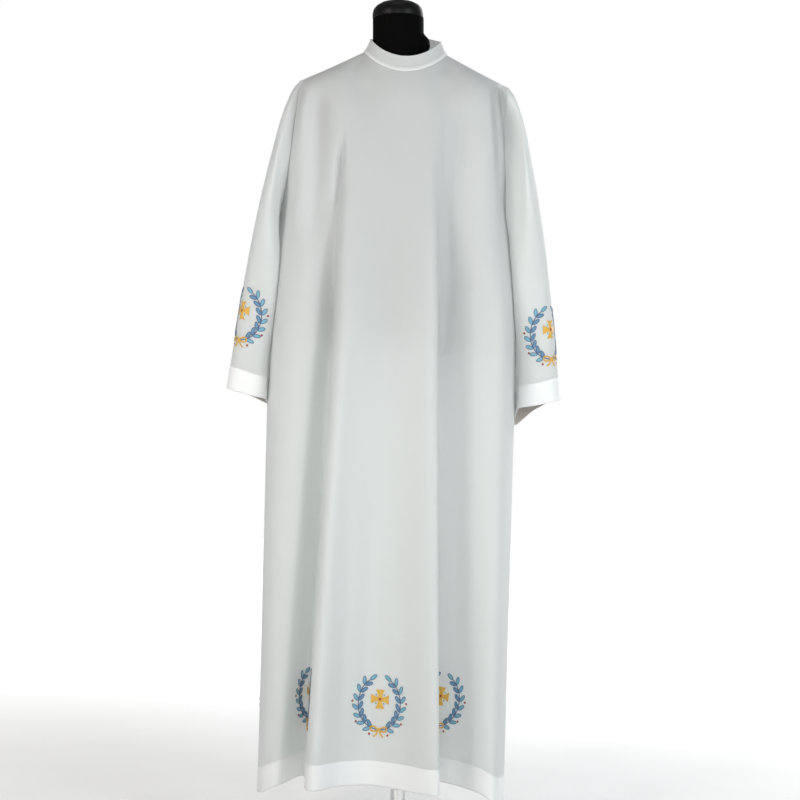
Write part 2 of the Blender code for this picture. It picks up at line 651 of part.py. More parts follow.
def main():
    for old in list(bpy.data.objects):
        bpy.data.objects.remove(old)
    collection = bpy.data.collections.new("alb_on_dress_form")
    bpy.context.scene.collection.children.link(collection)
    cloth = material("white_cloth", (0.80, 0.82, 0.81), 0.85)
    black = material("black_form", (0.012, 0.012, 0.013), 0.55)
    steel = material("brushed_steel", (0.72, 0.73, 0.74), 0.3, 1.0)
    shell = material("white_button", (0.85, 0.85, 0.82), 0.3)
    form = make_form(collection, black)
    make_stand(collection, black, steel)
    make_robe(collection, form, cloth, shell)
    whole = bpy.data.objects.new("alb_on_dress_form", None)
    collection.objects.link(whole)
    whole.location = PLACE
    for made in collection.objects:
        if made.type == "MESH":
            made.parent = whole


main()
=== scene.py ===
"""The looks of the alb on its dress form: cloth with folds, hems and seams, embroidery, form and stand."""

from collections import namedtuple
from math import cos, pi, radians, sin

import bmesh
import bpy
import numpy as np
from mathutils import Matrix, Vector
from mathutils.bvhtree import BVHTree


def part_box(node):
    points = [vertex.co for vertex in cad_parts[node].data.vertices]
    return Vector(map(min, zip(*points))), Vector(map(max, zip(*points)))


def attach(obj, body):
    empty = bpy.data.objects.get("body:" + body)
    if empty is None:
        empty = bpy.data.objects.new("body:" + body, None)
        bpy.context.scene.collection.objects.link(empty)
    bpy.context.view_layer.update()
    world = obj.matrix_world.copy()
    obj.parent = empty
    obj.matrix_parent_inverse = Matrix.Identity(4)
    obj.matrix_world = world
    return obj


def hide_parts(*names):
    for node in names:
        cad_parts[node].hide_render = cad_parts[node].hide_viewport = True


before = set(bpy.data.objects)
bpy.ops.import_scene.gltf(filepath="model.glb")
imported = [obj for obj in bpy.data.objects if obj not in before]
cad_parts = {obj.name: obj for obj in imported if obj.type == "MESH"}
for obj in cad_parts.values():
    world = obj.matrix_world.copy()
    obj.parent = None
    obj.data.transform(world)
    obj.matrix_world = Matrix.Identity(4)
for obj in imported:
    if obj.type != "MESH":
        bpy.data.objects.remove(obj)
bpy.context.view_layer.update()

BODY = "root"

# ---- The view ----
EYE = (0.0130, -3.392, 0.850)
LENS = 76.5
SENSOR = 36.0
AMBIENT = 0.25
WHITE = (1.0, 1.0, 1.0, 1.0)
NEAR_GLOW = 0.08
FAR_GLOW = 0.95
GLOW_RISES = (0.5, 4.0)
LIT_SPOT = (0.0, 0.0, 1.05)
Softbox = namedtuple("Softbox", "name place size power colour")
SOFTBOXES = [
    Softbox("back_softbox", (1.4, 2.9, 2.1), 2.2, 100.0, (1.0, 1.0, 1.0)),
    Softbox("front_softbox", (0.0, -3.8, 1.9), 1.6, 24.0, (1.0, 1.0, 1.0)),
    Softbox("top_softbox", (0.0, -0.5, 3.7), 1.2, 5.0, (1.0, 1.0, 1.0)),
    Softbox("warm_softbox", (-2.7, -2.7, 2.2), 1.3, 48.5, (1.0, 0.95, 0.88)),
    Softbox("cool_softbox", (2.7, -2.7, 2.2), 1.3, 48.5, (0.88, 0.96, 1.0)),
]

# ---- The robe's sizes, in its own upright frame, in metres ----
HEM_HEIGHT = 0.060
HEM_LIFT_POWER = 2.4
HEM_LIFT = 0.056
HEM_DEPTH = 0.050
WAIST = 0.940
UNDERARM = 1.200
YOKE = 1.390
SHOULDER = np.array([0.208, 0.002, 1.482])
NECK_POINT = np.array([0.081, 0.000, 1.544])
NECK_SHARE = 0.40
NECK_FRONT = np.array([0.0, -0.072, 1.495])
NECK_BACK = np.array([0.0, 0.064, 1.553])
COLLAR_TOP_HALF = 0.070
COLLAR_TOP_FRONT = np.array([0.0, -0.061, 1.526])
COLLAR_TOP_BACK = np.array([0.0, 0.057, 1.590])
COLLAR_TOP_SIDE = 1.570
NECK_DIP_POWER = 1.5
NECK_FRONT_LEAN = 0.83
NECK_BACK_LEAN = 0.62
SHOULDER_SLOPE = 0.47
SHOULDER_HOLLOW = 0.001
CORNER_ASIDE = 0.7
CORNER_SHARE = 0.45
ASIDE_SHORTER = 0.65
YOKE_REACH = 0.42
YOKE_BELOW = 0.010
TOP_BACK_LEAST = 0.02
TOP_RISE = 0.04
SECTION_POWER = 2.4
SIDE_AHEAD = 0.05
SOLID_WALL = 0.0018
FORM_CLEAR = 0.0010
COLLAR_WALL = 0.0026
COLLAR_CLEAR = 0.0022
CLEAR_REACH = 0.05
SQUARELY = 0.8
PLACE = np.array([0.0096, 0.0080, 0.0])
SLANT = radians(2.0)
SLANT_ABOUT = 0.850
ASIDE = -0.010

Level = namedtuple("Level", "height half aside front back front_edge back_edge")
LEVELS = [
    Level(0.060, 0.2440, 0.000, -0.140, 0.140, 0.012, 0.012),
    Level(0.500, 0.2475, -0.002, -0.140, 0.138, 0.012, 0.012),
    Level(0.940, 0.2480, -0.006, -0.138, 0.134, 0.012, 0.012),
    Level(1.090, 0.2430, -0.009, -0.134, 0.130, 0.010, 0.010),
    Level(1.200, 0.2350, -0.008, -0.130, 0.126, 0.008, 0.008),
    Level(1.250, 0.2225, -0.006, -0.128, 0.124, -0.036, 0.046),
    Level(1.310, 0.2130, -0.007, -0.124, 0.121, -0.062, 0.070),
    Level(1.390, 0.2080, -0.006, -0.110, 0.114, -0.056, 0.064),
]
Fold = namedtuple("Fold", "name share waist_x waist_y hem_x hem_y begins steps")
FRONT_FOLDS = [
    Fold("right_side", -1.00, -0.254, 0.012, -0.245, 0.012, 1.20, 5),
    Fold("right_ridge", -0.84, -0.219, -0.092, -0.224, -0.136, 1.30, 3),
    Fold("right_plateau", -0.66, -0.160, -0.112, -0.194, -0.152, 1.36, 3),
    Fold("right_valley", -0.52, -0.128, -0.086, -0.152, -0.090, 1.37, 4),
    Fold("panel_right_ridge", -0.40, -0.104, -0.166, -0.129, -0.230, 1.37, 5),
    Fold("panel_hollow", -0.08, -0.018, -0.150, -0.028, -0.168, 1.30, 5),
    Fold("panel_left_ridge", 0.29, 0.077, -0.169, 0.109, -0.238, 1.37, 3),
    Fold("left_valley", 0.38, 0.080, -0.089, 0.084, -0.096, 1.38, 3),
    Fold("left_floor", 0.50, 0.120, -0.098, 0.140, -0.124, 1.38, 3),
    Fold("left_plateau", 0.64, 0.158, -0.112, 0.186, -0.160, 1.37, 4),
    Fold("left_ridge", 0.82, 0.207, -0.114, 0.218, -0.168, 1.30, 7),
    Fold("left_side", 1.00, 0.243, 0.012, 0.249, 0.012, 1.20, 0),
]
BACK_FOLDS = [
    Fold("right_side", -1.00, -0.254, 0.012, -0.245, 0.012, 1.20, 5),
    Fold("right_ridge", -0.85, -0.222, 0.096, -0.224, 0.132, 1.28, 4),
    Fold("right_valley", -0.62, -0.140, 0.112, -0.146, 0.122, 1.36, 4),
    Fold("inner_right_ridge", -0.40, -0.106, 0.150, -0.128, 0.210, 1.36, 4),
    Fold("inner_right_valley", -0.20, -0.058, 0.122, -0.062, 0.138, 1.34, 4),
    Fold("middle", 0.00, 0.002, 0.160, 0.004, 0.222, 1.32, 4),
    Fold("inner_left_valley", 0.21, 0.060, 0.120, 0.068, 0.134, 1.34, 4),
    Fold("inner_left_ridge", 0.40, 0.108, 0.152, 0.132, 0.214, 1.36, 4),
    Fold("left_valley", 0.63, 0.142, 0.110, 0.150, 0.118, 1.36, 4),
    Fold("left_ridge", 0.86, 0.222, 0.098, 0.226, 0.134, 1.28, 5),
    Fold("left_side", 1.00, 0.243, 0.012, 0.249, 0.012, 1.20, 0),
]
Hollow = namedtuple("Hollow", "top_x top_z low_x low_z top_depth low_depth width power")
FRONT_HOLLOWS = [
    Hollow(0.190, 1.436, 0.206, 1.250, 0.036, 0.026, 0.015, 4),
    Hollow(-0.209, 1.450, -0.217, 1.375, 0.018, 0.008, 0.010, 2),
    Hollow(0.150, 1.400, 0.122, 1.270, 0.008, 0.008, 0.030, 2),
    Hollow(0.194, 1.462, 0.205, 1.385, 0.012, 0.018, 0.007, 2),
    Hollow(-0.167, 1.410, -0.165, 1.200, 0.021, 0.016, 0.022, 2),
    Hollow(-0.141, 1.150, -0.143, 0.980, -0.007, -0.005, 0.013, 2),
    Hollow(-0.117, 1.304, -0.122, 1.020, 0.013, 0.008, 0.007, 2),
    Hollow(0.092, 1.345, 0.100, 1.060, 0.009, 0.005, 0.012, 2),
    Hollow(0.112, 1.380, 0.122, 1.090, 0.011, 0.010, 0.030, 2),
    Hollow(-0.075, 0.900, -0.083, 0.100, 0.003, 0.010, 0.017, 2),
    Hollow(0.026, 0.880, 0.046, 0.180, 0.003, 0.006, 0.024, 2),
]
BACK_HOLLOWS = [
    Hollow(-0.150, 1.400, -0.128, 1.060, 0.010, 0.008, 0.022, 2),
    Hollow(-0.196, 1.400, -0.206, 1.180, 0.009, 0.008, 0.014, 2),
    Hollow(-0.058, 1.190, -0.062, 0.880, 0.003, 0.008, 0.020, 2),
    Hollow(0.048, 1.230, 0.060, 0.900, 0.003, 0.008, 0.020, 2),
    Hollow(0.140, 1.390, 0.126, 1.040, 0.010, 0.008, 0.022, 2),
    Hollow(0.196, 1.410, 0.204, 1.200, 0.010, 0.008, 0.014, 2),
]
HOLLOW_FADE = 0.045
SLIT_END = 1.323
SLIT_EASE = 0.012
SLIT_APART = 0.0006  # of each edge, from the middle
SEAM_APART = 0.00015
SLIT_STITCH_COLUMN = 1.2
WAVE_DEPTH = 0.0005
WAVE_ACROSS = 0.0135
WAVE_ALONG = 0.21
WAVE_BEND = 1.6
OtherWave = namedtuple("OtherWave", "share across bend up start")
OTHER_WAVE = OtherWave(0.7, 1.63, 2.1, 1.4, 1.0)
Ring = namedtuple("Ring", "share outer_x outer_z inner_x inner_z front back power")
SLEEVE_RINGS = [
    Ring(0.00, 0.209, 1.4815, 0.2365, 1.199, -0.064, 0.072, 2.0),
    Ring(0.05, 0.222, 1.464, 0.2500, 1.178, -0.078, 0.084, 2.0),
    Ring(0.12, 0.237, 1.423, 0.2550, 1.140, -0.086, 0.092, 2.1),
    Ring(0.25, 0.257, 1.342, 0.2580, 1.086, -0.088, 0.094, 2.2),
    Ring(0.45, 0.284, 1.210, 0.2590, 1.020, -0.082, 0.088, 2.4),
    Ring(0.65, 0.305, 1.076, 0.2600, 0.968, -0.071, 0.077, 2.6),
    Ring(0.85, 0.322, 0.946, 0.2605, 0.915, -0.060, 0.066, 2.8),
    Ring(1.00, 0.333, 0.862, 0.2605, 0.842, -0.053, 0.059, 2.9),
]
BACK_CORNER = 225
DROP_BEGINS = 0.4
DROP_POWER = 4.0
SEWN_SHARE = 0.13
Nestle = namedtuple("Nestle", "share left right")  # how far the front, inner and back sides reach inwards
SLEEVE_NESTLES = [
    Nestle(0.00, (0.000, 0.000, 0.000), (0.000, 0.000, 0.000)),
    Nestle(0.06, (0.024, 0.017, 0.010), (0.008, 0.003, 0.006)),
    Nestle(0.12, (0.030, 0.020, 0.014), (0.015, 0.006, 0.010)),
    Nestle(0.25, (0.030, 0.020, 0.018), (0.025, 0.010, 0.014)),
    Nestle(0.45, (0.026, 0.017, 0.020), (0.027, 0.012, 0.014)),
    Nestle(0.65, (0.018, 0.013, 0.022), (0.020, 0.006, 0.014)),
    Nestle(0.85, (0.014, 0.010, 0.022), (0.014, 0.004, 0.014)),
    Nestle(1.00, (0.012, 0.009, 0.018), (0.012, 0.004, 0.012)),
]
NESTLE_ANGLES = (135, 180, 228)
NESTLE_WIDTH = 34
BODY_CLEAR = 0.0022
CLEAR_TOP = 1.37
BACK_DROP = {"left": 0.036, "right": 0.010}
Crease = namedtuple("Crease", "angle share depth angle_width share_width")
SLEEVE_CREASES = [
    Crease(118, 0.13, 0.016, 24, 0.12),
    Crease(52, 0.10, 0.006, 16, 0.12),
    Crease(242, 0.13, 0.014, 24, 0.12),
    Crease(80, 0.52, 0.005, 26, 0.16),
    Crease(275, 0.60, 0.006, 28, 0.18),
]

# ---- The cloth's grids ----
FINER = 4  # columns of the grid to a step between folds
HEM_ROWS = 10
SKIRT_ROWS = 196
ARMHOLE_ROWS = 35
YOKE_ROWS = 28
SLEEVE_ROWS = 120
COLLAR_SHARES = (0.0, 0.05, 0.10, 0.15, 0.21, 0.28, 0.40, 0.55, 0.70, 0.82, 0.90, 0.95, 0.98, 1.0)
COLLAR_ROLL = 0.0034
COLLAR_DROP = 0.0040
COLLAR_LIP = 0.0008
ROLL_AT = 0.10
ROLL_WIDTH = 0.09
LIP_FROM = 0.80
LIP_WIDTH = 0.15
COLLAR_ROLL_ROWS = 5
RELAX_ROUNDS = 60
RELAX_ROWS = 3
RELAX_COLUMNS = 3
CLOTH = 0.0007  # one layer
TURN_UP_GAP = 0.0002
UNDER = CLOTH + TURN_UP_GAP
TURN_UP_RISE = 0.0004
ClothLook = namedtuple("ClothLook", "name see_through dark pale through")
CLOTH_LOOKS = [
    ClothLook("fine white polyester", 0.55, (0.86, 0.875, 0.87), (0.91, 0.925, 0.92), (0.92, 0.93, 0.925)),
    ClothLook("doubled white polyester", 0.12, (0.945, 0.96, 0.955), (0.97, 0.98, 0.975), (0.9, 0.9, 0.9)),
    # Painted shade: the hem's turn-up is greyer than the outer cloth and lets almost no light through, so the
    # robe's inside looks shaded.
    ClothLook("turned-up white polyester", 0.04, (0.80, 0.80, 0.79), (0.86, 0.86, 0.85), (0.7, 0.7, 0.7)),
    # Painted shade: the cuff's inside is a dark taupe that lets no light through, standing in for the shadow
    # inside the sleeve.
    ClothLook("shaded inside of a cuff", 0.0, (0.40, 0.36, 0.32), (0.46, 0.42, 0.38), (0.4, 0.4, 0.4)),
    ClothLook(
        "interfaced white polyester", 0.42, (0.80, 0.815, 0.81), (0.86, 0.875, 0.87), (0.86, 0.87, 0.86)
    ),
    ClothLook("rolled white polyester", 0.25, (0.86, 0.875, 0.87), (0.91, 0.92, 0.915), (0.90, 0.91, 0.90)),
]
THREAD_PITCH = 0.0005
COLLAR_THICK = 0.0022
CUFF_ROWS = 10
COLLAR_STITCH_ROW = 1.5
STITCH_PITCH = 0.0040
STITCH_LONG = 0.0030
STITCH_THICK = 0.00022
STITCH_STRAIGHT = 0.7  # of a unit, the rest is its two ends
STITCH_TAPER = 0.5
STITCH_STAND = 0.3

# ---- The embroidered emblem ----
SQUARE = ((1, 1), (-1, 1), (-1, -1), (1, -1))
BRANCH_X = 0.043
BRANCH_Y = 0.050
BRANCH_ARC = (-84, 60)
LEAF_ANGLES = (-70, -51, -33, -15, 4, 23, 42)
LEAF_SPREAD = 0.66
LEAF_LENGTH = 0.0175
LEAF_RISE = 0.0007
LEAF_SLANT = 0.9
LEAF_SIDES = 14
LEAF_BODY = 0.44  # of its length, before its tips are drawn out
LEAF_TIP = 0.06
LEAF_INSETS = ((0.10, 0.6), (0.16, 0.4))
LEAF_STANDS = 0.54
BERRY_LEAVES = (0, 2, 4)
BERRY_OFF = 0.0125
BERRY_SIZE = 0.0023
CROSS_PLACE = (0.0, 0.008)
CROSS_HEART = 0.008
CROSS_STEPS = ((0.005, 1.15), (0.009, 2.0))
CROSS_RISE = 0.0005
CROSS_EDGE = 0.0009
CROSS_CENTRE = 0.0030
GREEN_SIZE = 0.0016
GREEN_OFF = 0.0080
BOW_KNOT = (0.0, -0.050)
BOW_LOOP = 0.017
BOW_END = 0.013
LOOP_SLIM = 0.36
LOOP_SAG = 0.12
END_SPREAD = (0.003, 0.007)
END_CURL = 0.0012
KNOT_SIZE = 0.0030
CENTRE_LIFT = 0.0008
KNOT_LIFT = 0.0010
OUTLINE_CORD = 0.0006
STEM_CORD = 0.0009
BOW_CORD = 0.0014
CORD_SUNK = 0.6
EMBLEM_LIFT = 0.0002
EMBLEM_UP = 0.157
EMBLEM_ROOM = 0.075
FRONT_EMBLEMS = (-0.232, 0.022, 0.312)
BACK_EMBLEMS = (0.146, 0.424)
SLEEVE_EMBLEMS = {"left": (93, 0.062), "right": (90, -0.062)}
SLOPE_ROWS = 8
ROOM_LEVELS = 31
Thread = namedtuple("Thread", "name dark pale rough")
THREADS = {
    "light_blue": Thread("light blue thread", (0.13, 0.36, 0.50), (0.25, 0.55, 0.70), 0.40),
    "mid_blue": Thread("mid blue thread", (0.09, 0.22, 0.38), (0.16, 0.34, 0.52), 0.40),
    "slate": Thread("slate blue thread", (0.05, 0.09, 0.19), (0.10, 0.16, 0.30), 0.45),
    "gold": Thread("golden yellow thread", (0.62, 0.32, 0.03), (0.90, 0.56, 0.09), 0.36),
    "red": Thread("brick red thread", (0.26, 0.03, 0.015), (0.45, 0.07, 0.03), 0.42),
    "green": Thread("sea green thread", (0.09, 0.30, 0.24), (0.18, 0.50, 0.40), 0.42),
}

# ---- The button ----
BUTTON_RADIUS = 0.0055
BUTTON_THICK = 0.0022
BUTTON_RIM = 0.0011
BUTTON_DISH = 0.0006
BUTTON_HOLES = 0.0013
HOLE_RADIUS = 0.00055
BUTTON_LIFT = 0.0022
BUTTON_SOFT = 0.00016
SHANK_RADIUS = 0.0011
BUTTON_CORD = 0.00030

# ---- The form's neck, which widens towards its shoulder where the collar stands off ----
NECK_MIDDLE = (0.0096, 0.008)
NECK_RINGS = (1.584, 1.579, 1.574, 1.569, 1.563, 1.556, 1.548, 1.540)
NECK_FLARE = 0.012
FLARE_OPENS = 0.018
FLARE_ENDS = 0.012

# ---- Copies of the form's and stand's solids ----
MERGED = 0.00002
LEVEL_ANGLE = radians(0.5)
SHARP_ANGLE = radians(40)
SOFT_EDGE = 0.0012
SLIVER = 0.00005


# ---- Small tools ----
def curve_through(keys, values, at):
    """The smooth curve through values at keys, read at many keys."""
    keys, values = np.asarray(keys, float), np.asarray(values, float)
    widths = np.diff(keys)[:, None]
    steps = np.diff(values, axis=0) / widths
    inner = (steps[:-1] * widths[1:] + steps[1:] * widths[:-1]) / (widths[:-1] + widths[1:])
    slopes = np.concatenate([steps[:1], inner, steps[-1:]])
    at = np.asarray(at, float)
    i = np.clip(np.searchsorted(keys, at, side="right") - 1, 0, len(keys) - 2)
    width = (keys[i + 1] - keys[i])[..., None]
    t = (at - keys[i])[..., None] / width
    rise = values[i + 1] - values[i]
    bend = t * (1 - t) * ((1 - t) * (slopes[i] * width - rise) - t * (slopes[i + 1] * width - rise))
    return values[i] + t * rise + bend


def row_at(table, key):
    """A table's row at a key, on the smooth curve through its rows. Its first column holds the keys."""
    return curve_through([row[0] for row in table], [list(row) for row in table], key)


def smooth_step(share):
    share = np.clip(share, 0.0, 1.0)
    return share * share * (3 - 2 * share)


def mixed(a, b, share):
    return a + (b - a) * share


def unit(vectors):
    return vectors / np.maximum(np.linalg.norm(vectors, axis=-1, keepdims=True), 1e-12)


def on_the_form(points):
    """From the robe's upright frame to the row's: turned about the line of sight and moved to its place."""
    x, up = points[..., 0], points[..., 2] - SLANT_ABOUT
    turned = np.stack([
        x * cos(SLANT) + up * sin(SLANT) + ASIDE,
        points[..., 1],
        up * cos(SLANT) - x * sin(SLANT) + SLANT_ABOUT,
    ], axis=-1)
    return turned + PLACE


Shape = namedtuple("Shape", "points faces")


class Cloth:
    """A grid of points on a cloth's outer side. Columns run round the body and rows along the piece."""

    def __init__(self, points, closed=False):
        self.points, self.closed = points, closed
        self.normals = self.find_normals()
        around = points[:, list(range(points.shape[1])) + [0]] if closed else points
        self.across = lengths_along(around, 1)
        self.along = lengths_along(points, 0)

    def find_normals(self):
        p = self.points
        if self.closed:
            over = np.roll(p, -1, axis=1) - np.roll(p, 1, axis=1)
        else:
            over = np.gradient(p, axis=1)
        return unit(np.cross(over, np.gradient(p, axis=0)))

    def spot(self, rows, columns):
        """Points and normals between the points of the grid."""
        high, wide = self.points.shape[:2]
        rows = np.clip(rows, 0.0, high - 1.001)
        if not self.closed:
            columns = np.clip(columns, 0.0, wide - 1.001)
        r, c = np.floor(rows).astype(int), np.floor(columns).astype(int)
        f, g = (rows - r)[..., None], (columns - c)[..., None]
        c, d = c % wide, (c + 1) % wide
        found = []
        for grid in (self.points, self.normals):
            found.append(mixed(mixed(grid[r, c], grid[r, d], g), mixed(grid[r + 1, c], grid[r + 1, d], g), f))
        return found

    def lay(self, row, column, flat):
        """Where points (over, up, lift) come to lie when their middle is put on a point of the grid."""
        rows = np.arange(self.points.shape[0], dtype=float)
        down = self.along[:, int(round(column)) % self.points.shape[1]]
        at = np.interp(np.interp(row, rows, down) + flat[:, 1], down, rows)
        low = np.minimum(at.astype(int), len(rows) - 2)
        reached = np.empty(len(flat))
        for number in np.unique(low):
            here = low == number
            ends = [self.reach(number + step, column, flat[here, 0]) for step in (0, 1)]
            reached[here] = mixed(*ends, at[here] - number)
        points, normals = self.spot(at, reached)
        return points + unit(normals) * flat[:, 2:]

    def reach(self, row, column, over):
        """The columns reached by going over from a column along a row."""
        arcs = self.across[row]
        marks = np.arange(len(arcs), dtype=float)
        if self.closed:
            turn, count = arcs[-1], len(arcs) - 1
            arcs = np.concatenate([arcs[:-1] - turn, arcs[:-1], arcs + turn])
            marks = np.concatenate([marks[:-1] - count, marks[:-1], marks + count])
        return np.interp(np.interp(column, marks, arcs) + over, arcs, marks)

    def cut(self):
        """The flat cut's width and length, and its area."""
        p = np.concatenate([self.points, self.points[:, :1]], axis=1) if self.closed else self.points
        one, other = p[1:, 1:] - p[:-1, :-1], p[1:, :-1] - p[:-1, 1:]
        area = float(np.linalg.norm(np.cross(one, other), axis=-1).sum() / 2)
        return (float(self.across[:, -1].max()), float(self.along[-1].max())), area


def lengths_along(points, axis):
    steps = np.linalg.norm(np.diff(points, axis=axis), axis=-1)
    start = np.zeros_like(np.take(steps, [0], axis=axis))
    return np.concatenate([start, np.cumsum(steps, axis=axis)], axis=axis)


def new_object(name, data):
    obj = bpy.data.objects.new(name, data)
    bpy.context.scene.collection.objects.link(obj)
    return obj


def finished(obj, name, finish):
    """Names the piece, gives it its finish, and lets it ride on the one body."""
    obj.name = obj.data.name = name
    for one in finish if isinstance(finish, list) else [finish] if finish else []:
        obj.data.materials.append(one)
    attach(obj, BODY)
    return obj


def only(obj):
    bpy.ops.object.select_all(action="DESELECT")
    obj.select_set(True)
    bpy.context.view_layer.objects.active = obj


def apply_modifiers(obj):
    only(obj)
    for modifier in list(obj.modifiers):
        bpy.ops.object.modifier_apply(modifier=modifier.name)


def cloth_object(name, cloth, wall, finish, use=slice(None), sunk=0.0, doubled=()):
    """A cloth grid as a thin shell, with a UV map in metres of cloth. It stands out where it is doubled."""
    out = np.full((len(cloth.points), 1, 1), -sunk)
    out[list(doubled)] += TURN_UP_RISE
    points = (cloth.points + cloth.normals * out)[use]
    across, along = cloth.across[use], cloth.along[use]
    high, wide = points.shape[:2]
    steps = wide if cloth.closed else wide - 1
    r, c = (a.ravel() for a in np.meshgrid(np.arange(high - 1), np.arange(steps), indexing="ij"))
    d = (c + 1) % wide
    quads = np.stack([r * wide + c, r * wide + d, (r + 1) * wide + d, (r + 1) * wide + c], axis=1)
    mesh = bpy.data.meshes.new(name)
    mesh.from_pydata(points.reshape(-1, 3).tolist(), [], quads.tolist())
    middle = across[:, across.shape[1] // 2][:, None]
    u = across - middle
    uv = np.empty((len(quads), 4, 2))
    for k, (dr, dc) in enumerate(((0, 0), (0, 1), (1, 1), (1, 0))):
        uv[:, k, 0] = u[r + dr, c + dc]
        uv[:, k, 1] = along[r + dr, d if dc else c]
    mesh.uv_layers.new(name="cloth").data.foreach_set("uv", uv.ravel())
    mesh.shade_smooth()
    obj = new_object(name, mesh)
    mesh.polygons.foreach_set("material_index", np.isin(r, doubled) & np.isin(r + 1, doubled))
    thick = obj.modifiers.new("wall", "SOLIDIFY")
    thick.thickness, thick.offset, thick.use_even_offset = wall, -1.0, True
    apply_modifiers(obj)
    return finished(obj, name, finish)


# ---- The robe's body ----
def level_at(height):
    return Level(*row_at(LEVELS, max(height, LEVELS[0].height)))


def chest_place(share, height, front):
    level = level_at(height)
    edge, depth = (level.front_edge, level.front) if front else (level.back_edge, level.back)
    bow = (1 - min(abs(share), 1.0) ** SECTION_POWER) ** (1 / SECTION_POWER)
    return np.array([level.aside + share * level.half, edge + (depth - edge) * bow])


def fold_place(fold, height, front):
    waist, hem = np.array([fold.waist_x, fold.waist_y]), np.array([fold.hem_x, fold.hem_y])
    if height <= WAIST:
        return mixed(waist, hem, (WAIST - height) / (WAIST - HEM_HEIGHT))
    chest = chest_place(fold.share, height, front)
    return mixed(chest, waist, smooth_step((fold.begins - height) / (fold.begins - WAIST)))


def body_plan(folds, height, front, at):
    places = [fold_place(f, height, front) for f in folds]
    ahead = np.array([0.0, SIDE_AHEAD if front else -SIDE_AHEAD])
    ends = np.array([places[0] + ahead, *places, places[-1] + ahead])
    keys = np.concatenate([[0.0], np.cumsum(np.linalg.norm(np.diff(ends, axis=0), axis=1) ** 0.5)])
    return curve_through(keys, ends, np.interp(at, range(-1, len(folds) + 1), keys))


def fold_numbers(folds):
    """The coarse column at which each fold's line is."""
    return np.cumsum([0] + [fold.steps for fold in folds[:-1]])


def neck_columns(folds):
    numbers, shares = fold_numbers(folds), [fold.share for fold in folds]
    return np.interp([-NECK_SHARE, NECK_SHARE], shares, numbers)


def neck_turn(column, folds):
    first, last = neck_columns(folds)
    return mixed(-pi / 2, pi / 2, (column - first) / (last - first))


def top_place(column, folds, front):
    """Where a column ends, on the shoulder seam or the neckline, and the way it arrives there."""
    first, last = neck_columns(folds)
    side = -1 if column <= (first + last) / 2 else 1
    if first < column < last:
        turn = neck_turn(column, folds)
        middle, lean = (NECK_FRONT, NECK_FRONT_LEAN) if front else (NECK_BACK, NECK_BACK_LEAN)
        round_front = cos(turn)
        place = np.array([
            NECK_POINT[0] * abs(sin(turn)),
            mixed(NECK_POINT[1], middle[1], round_front),
            mixed(NECK_POINT[2], middle[2], round_front**NECK_DIP_POWER),
        ])
        aside = abs(sin(turn))
    else:
        out = (first - column) / first if side < 0 else (column - last) / (fold_numbers(folds)[-1] - last)
        place = mixed(NECK_POINT, SHOULDER, out)
        place[2] -= SHOULDER_HOLLOW * sin(pi * out)
        lean, round_front = 0.0, 1.0
        aside = CORNER_ASIDE * max(0.0, 1 - out / CORNER_SHARE)
    back_way = (1 if front else -1) * np.hypot(1 - aside * aside, TOP_BACK_LEAST)
    rise = lean * round_front + SHOULDER_SLOPE * aside + TOP_RISE
    way = unit(np.array([-side * aside, back_way, rise])) * (1 - ASIDE_SHORTER * aside)
    return place * np.array([side, 1, 1]), way


def sink(points, hollows):
    """How far points seen from the front sink where hollows pass."""
    sunk = np.zeros(points.shape[:-1])
    seen = points[..., [0, 2]]
    for hollow in hollows:
        top, low = np.array([hollow.top_x, hollow.top_z]), np.array([hollow.low_x, hollow.low_z])
        line = low - top
        length = np.linalg.norm(line)
        share = (seen - top) @ line / length**2
        past = np.maximum(np.maximum(-share, share - 1), 0.0) * length
        off = np.linalg.norm(seen - top - line * share[..., None], axis=-1)
        depth = mixed(hollow.top_depth, hollow.low_depth, np.clip(share, 0, 1))
        sunk += depth * np.exp(-((off / hollow.width) ** hollow.power) - (past / HOLLOW_FADE) ** 2)
    return sunk


def from_ends(count):
    """For each of so many numbers in a row, how many steps it is from the nearer end."""
    return np.minimum(np.arange(count), np.arange(count)[::-1])


def waves(points):
    """Slight waves down the cloth, which die away towards the side seams."""
    across, up = points[..., 0] / WAVE_ACROSS, points[..., 2] / WAVE_ALONG
    other = OTHER_WAVE
    turn = other.across * across + other.bend * np.cos(other.up * up) + other.start
    wave = np.sin(across + WAVE_BEND * np.sin(up)) + other.share * np.sin(turn)
    return WAVE_DEPTH * wave * smooth_step(from_ends(points.shape[1]) / RELAX_COLUMNS)


def relaxed(points, start):
    """The grid with its rows from start up drawn smooth, and its edges where they were."""
    part = points[start:]
    rows, columns = from_ends(len(part)) / RELAX_ROWS, from_ends(part.shape[1]) / RELAX_COLUMNS
    free = smooth_step(rows)[:, None, None] * smooth_step(columns)[None, :, None]
    for _ in range(RELAX_ROUNDS):
        near = np.copy(part)
        near[1:-1, 1:-1] = (part[:-2, 1:-1] + part[2:, 1:-1] + part[1:-1, :-2] + part[1:-1, 2:]) / 4
        part += (near - part) * free
    return points


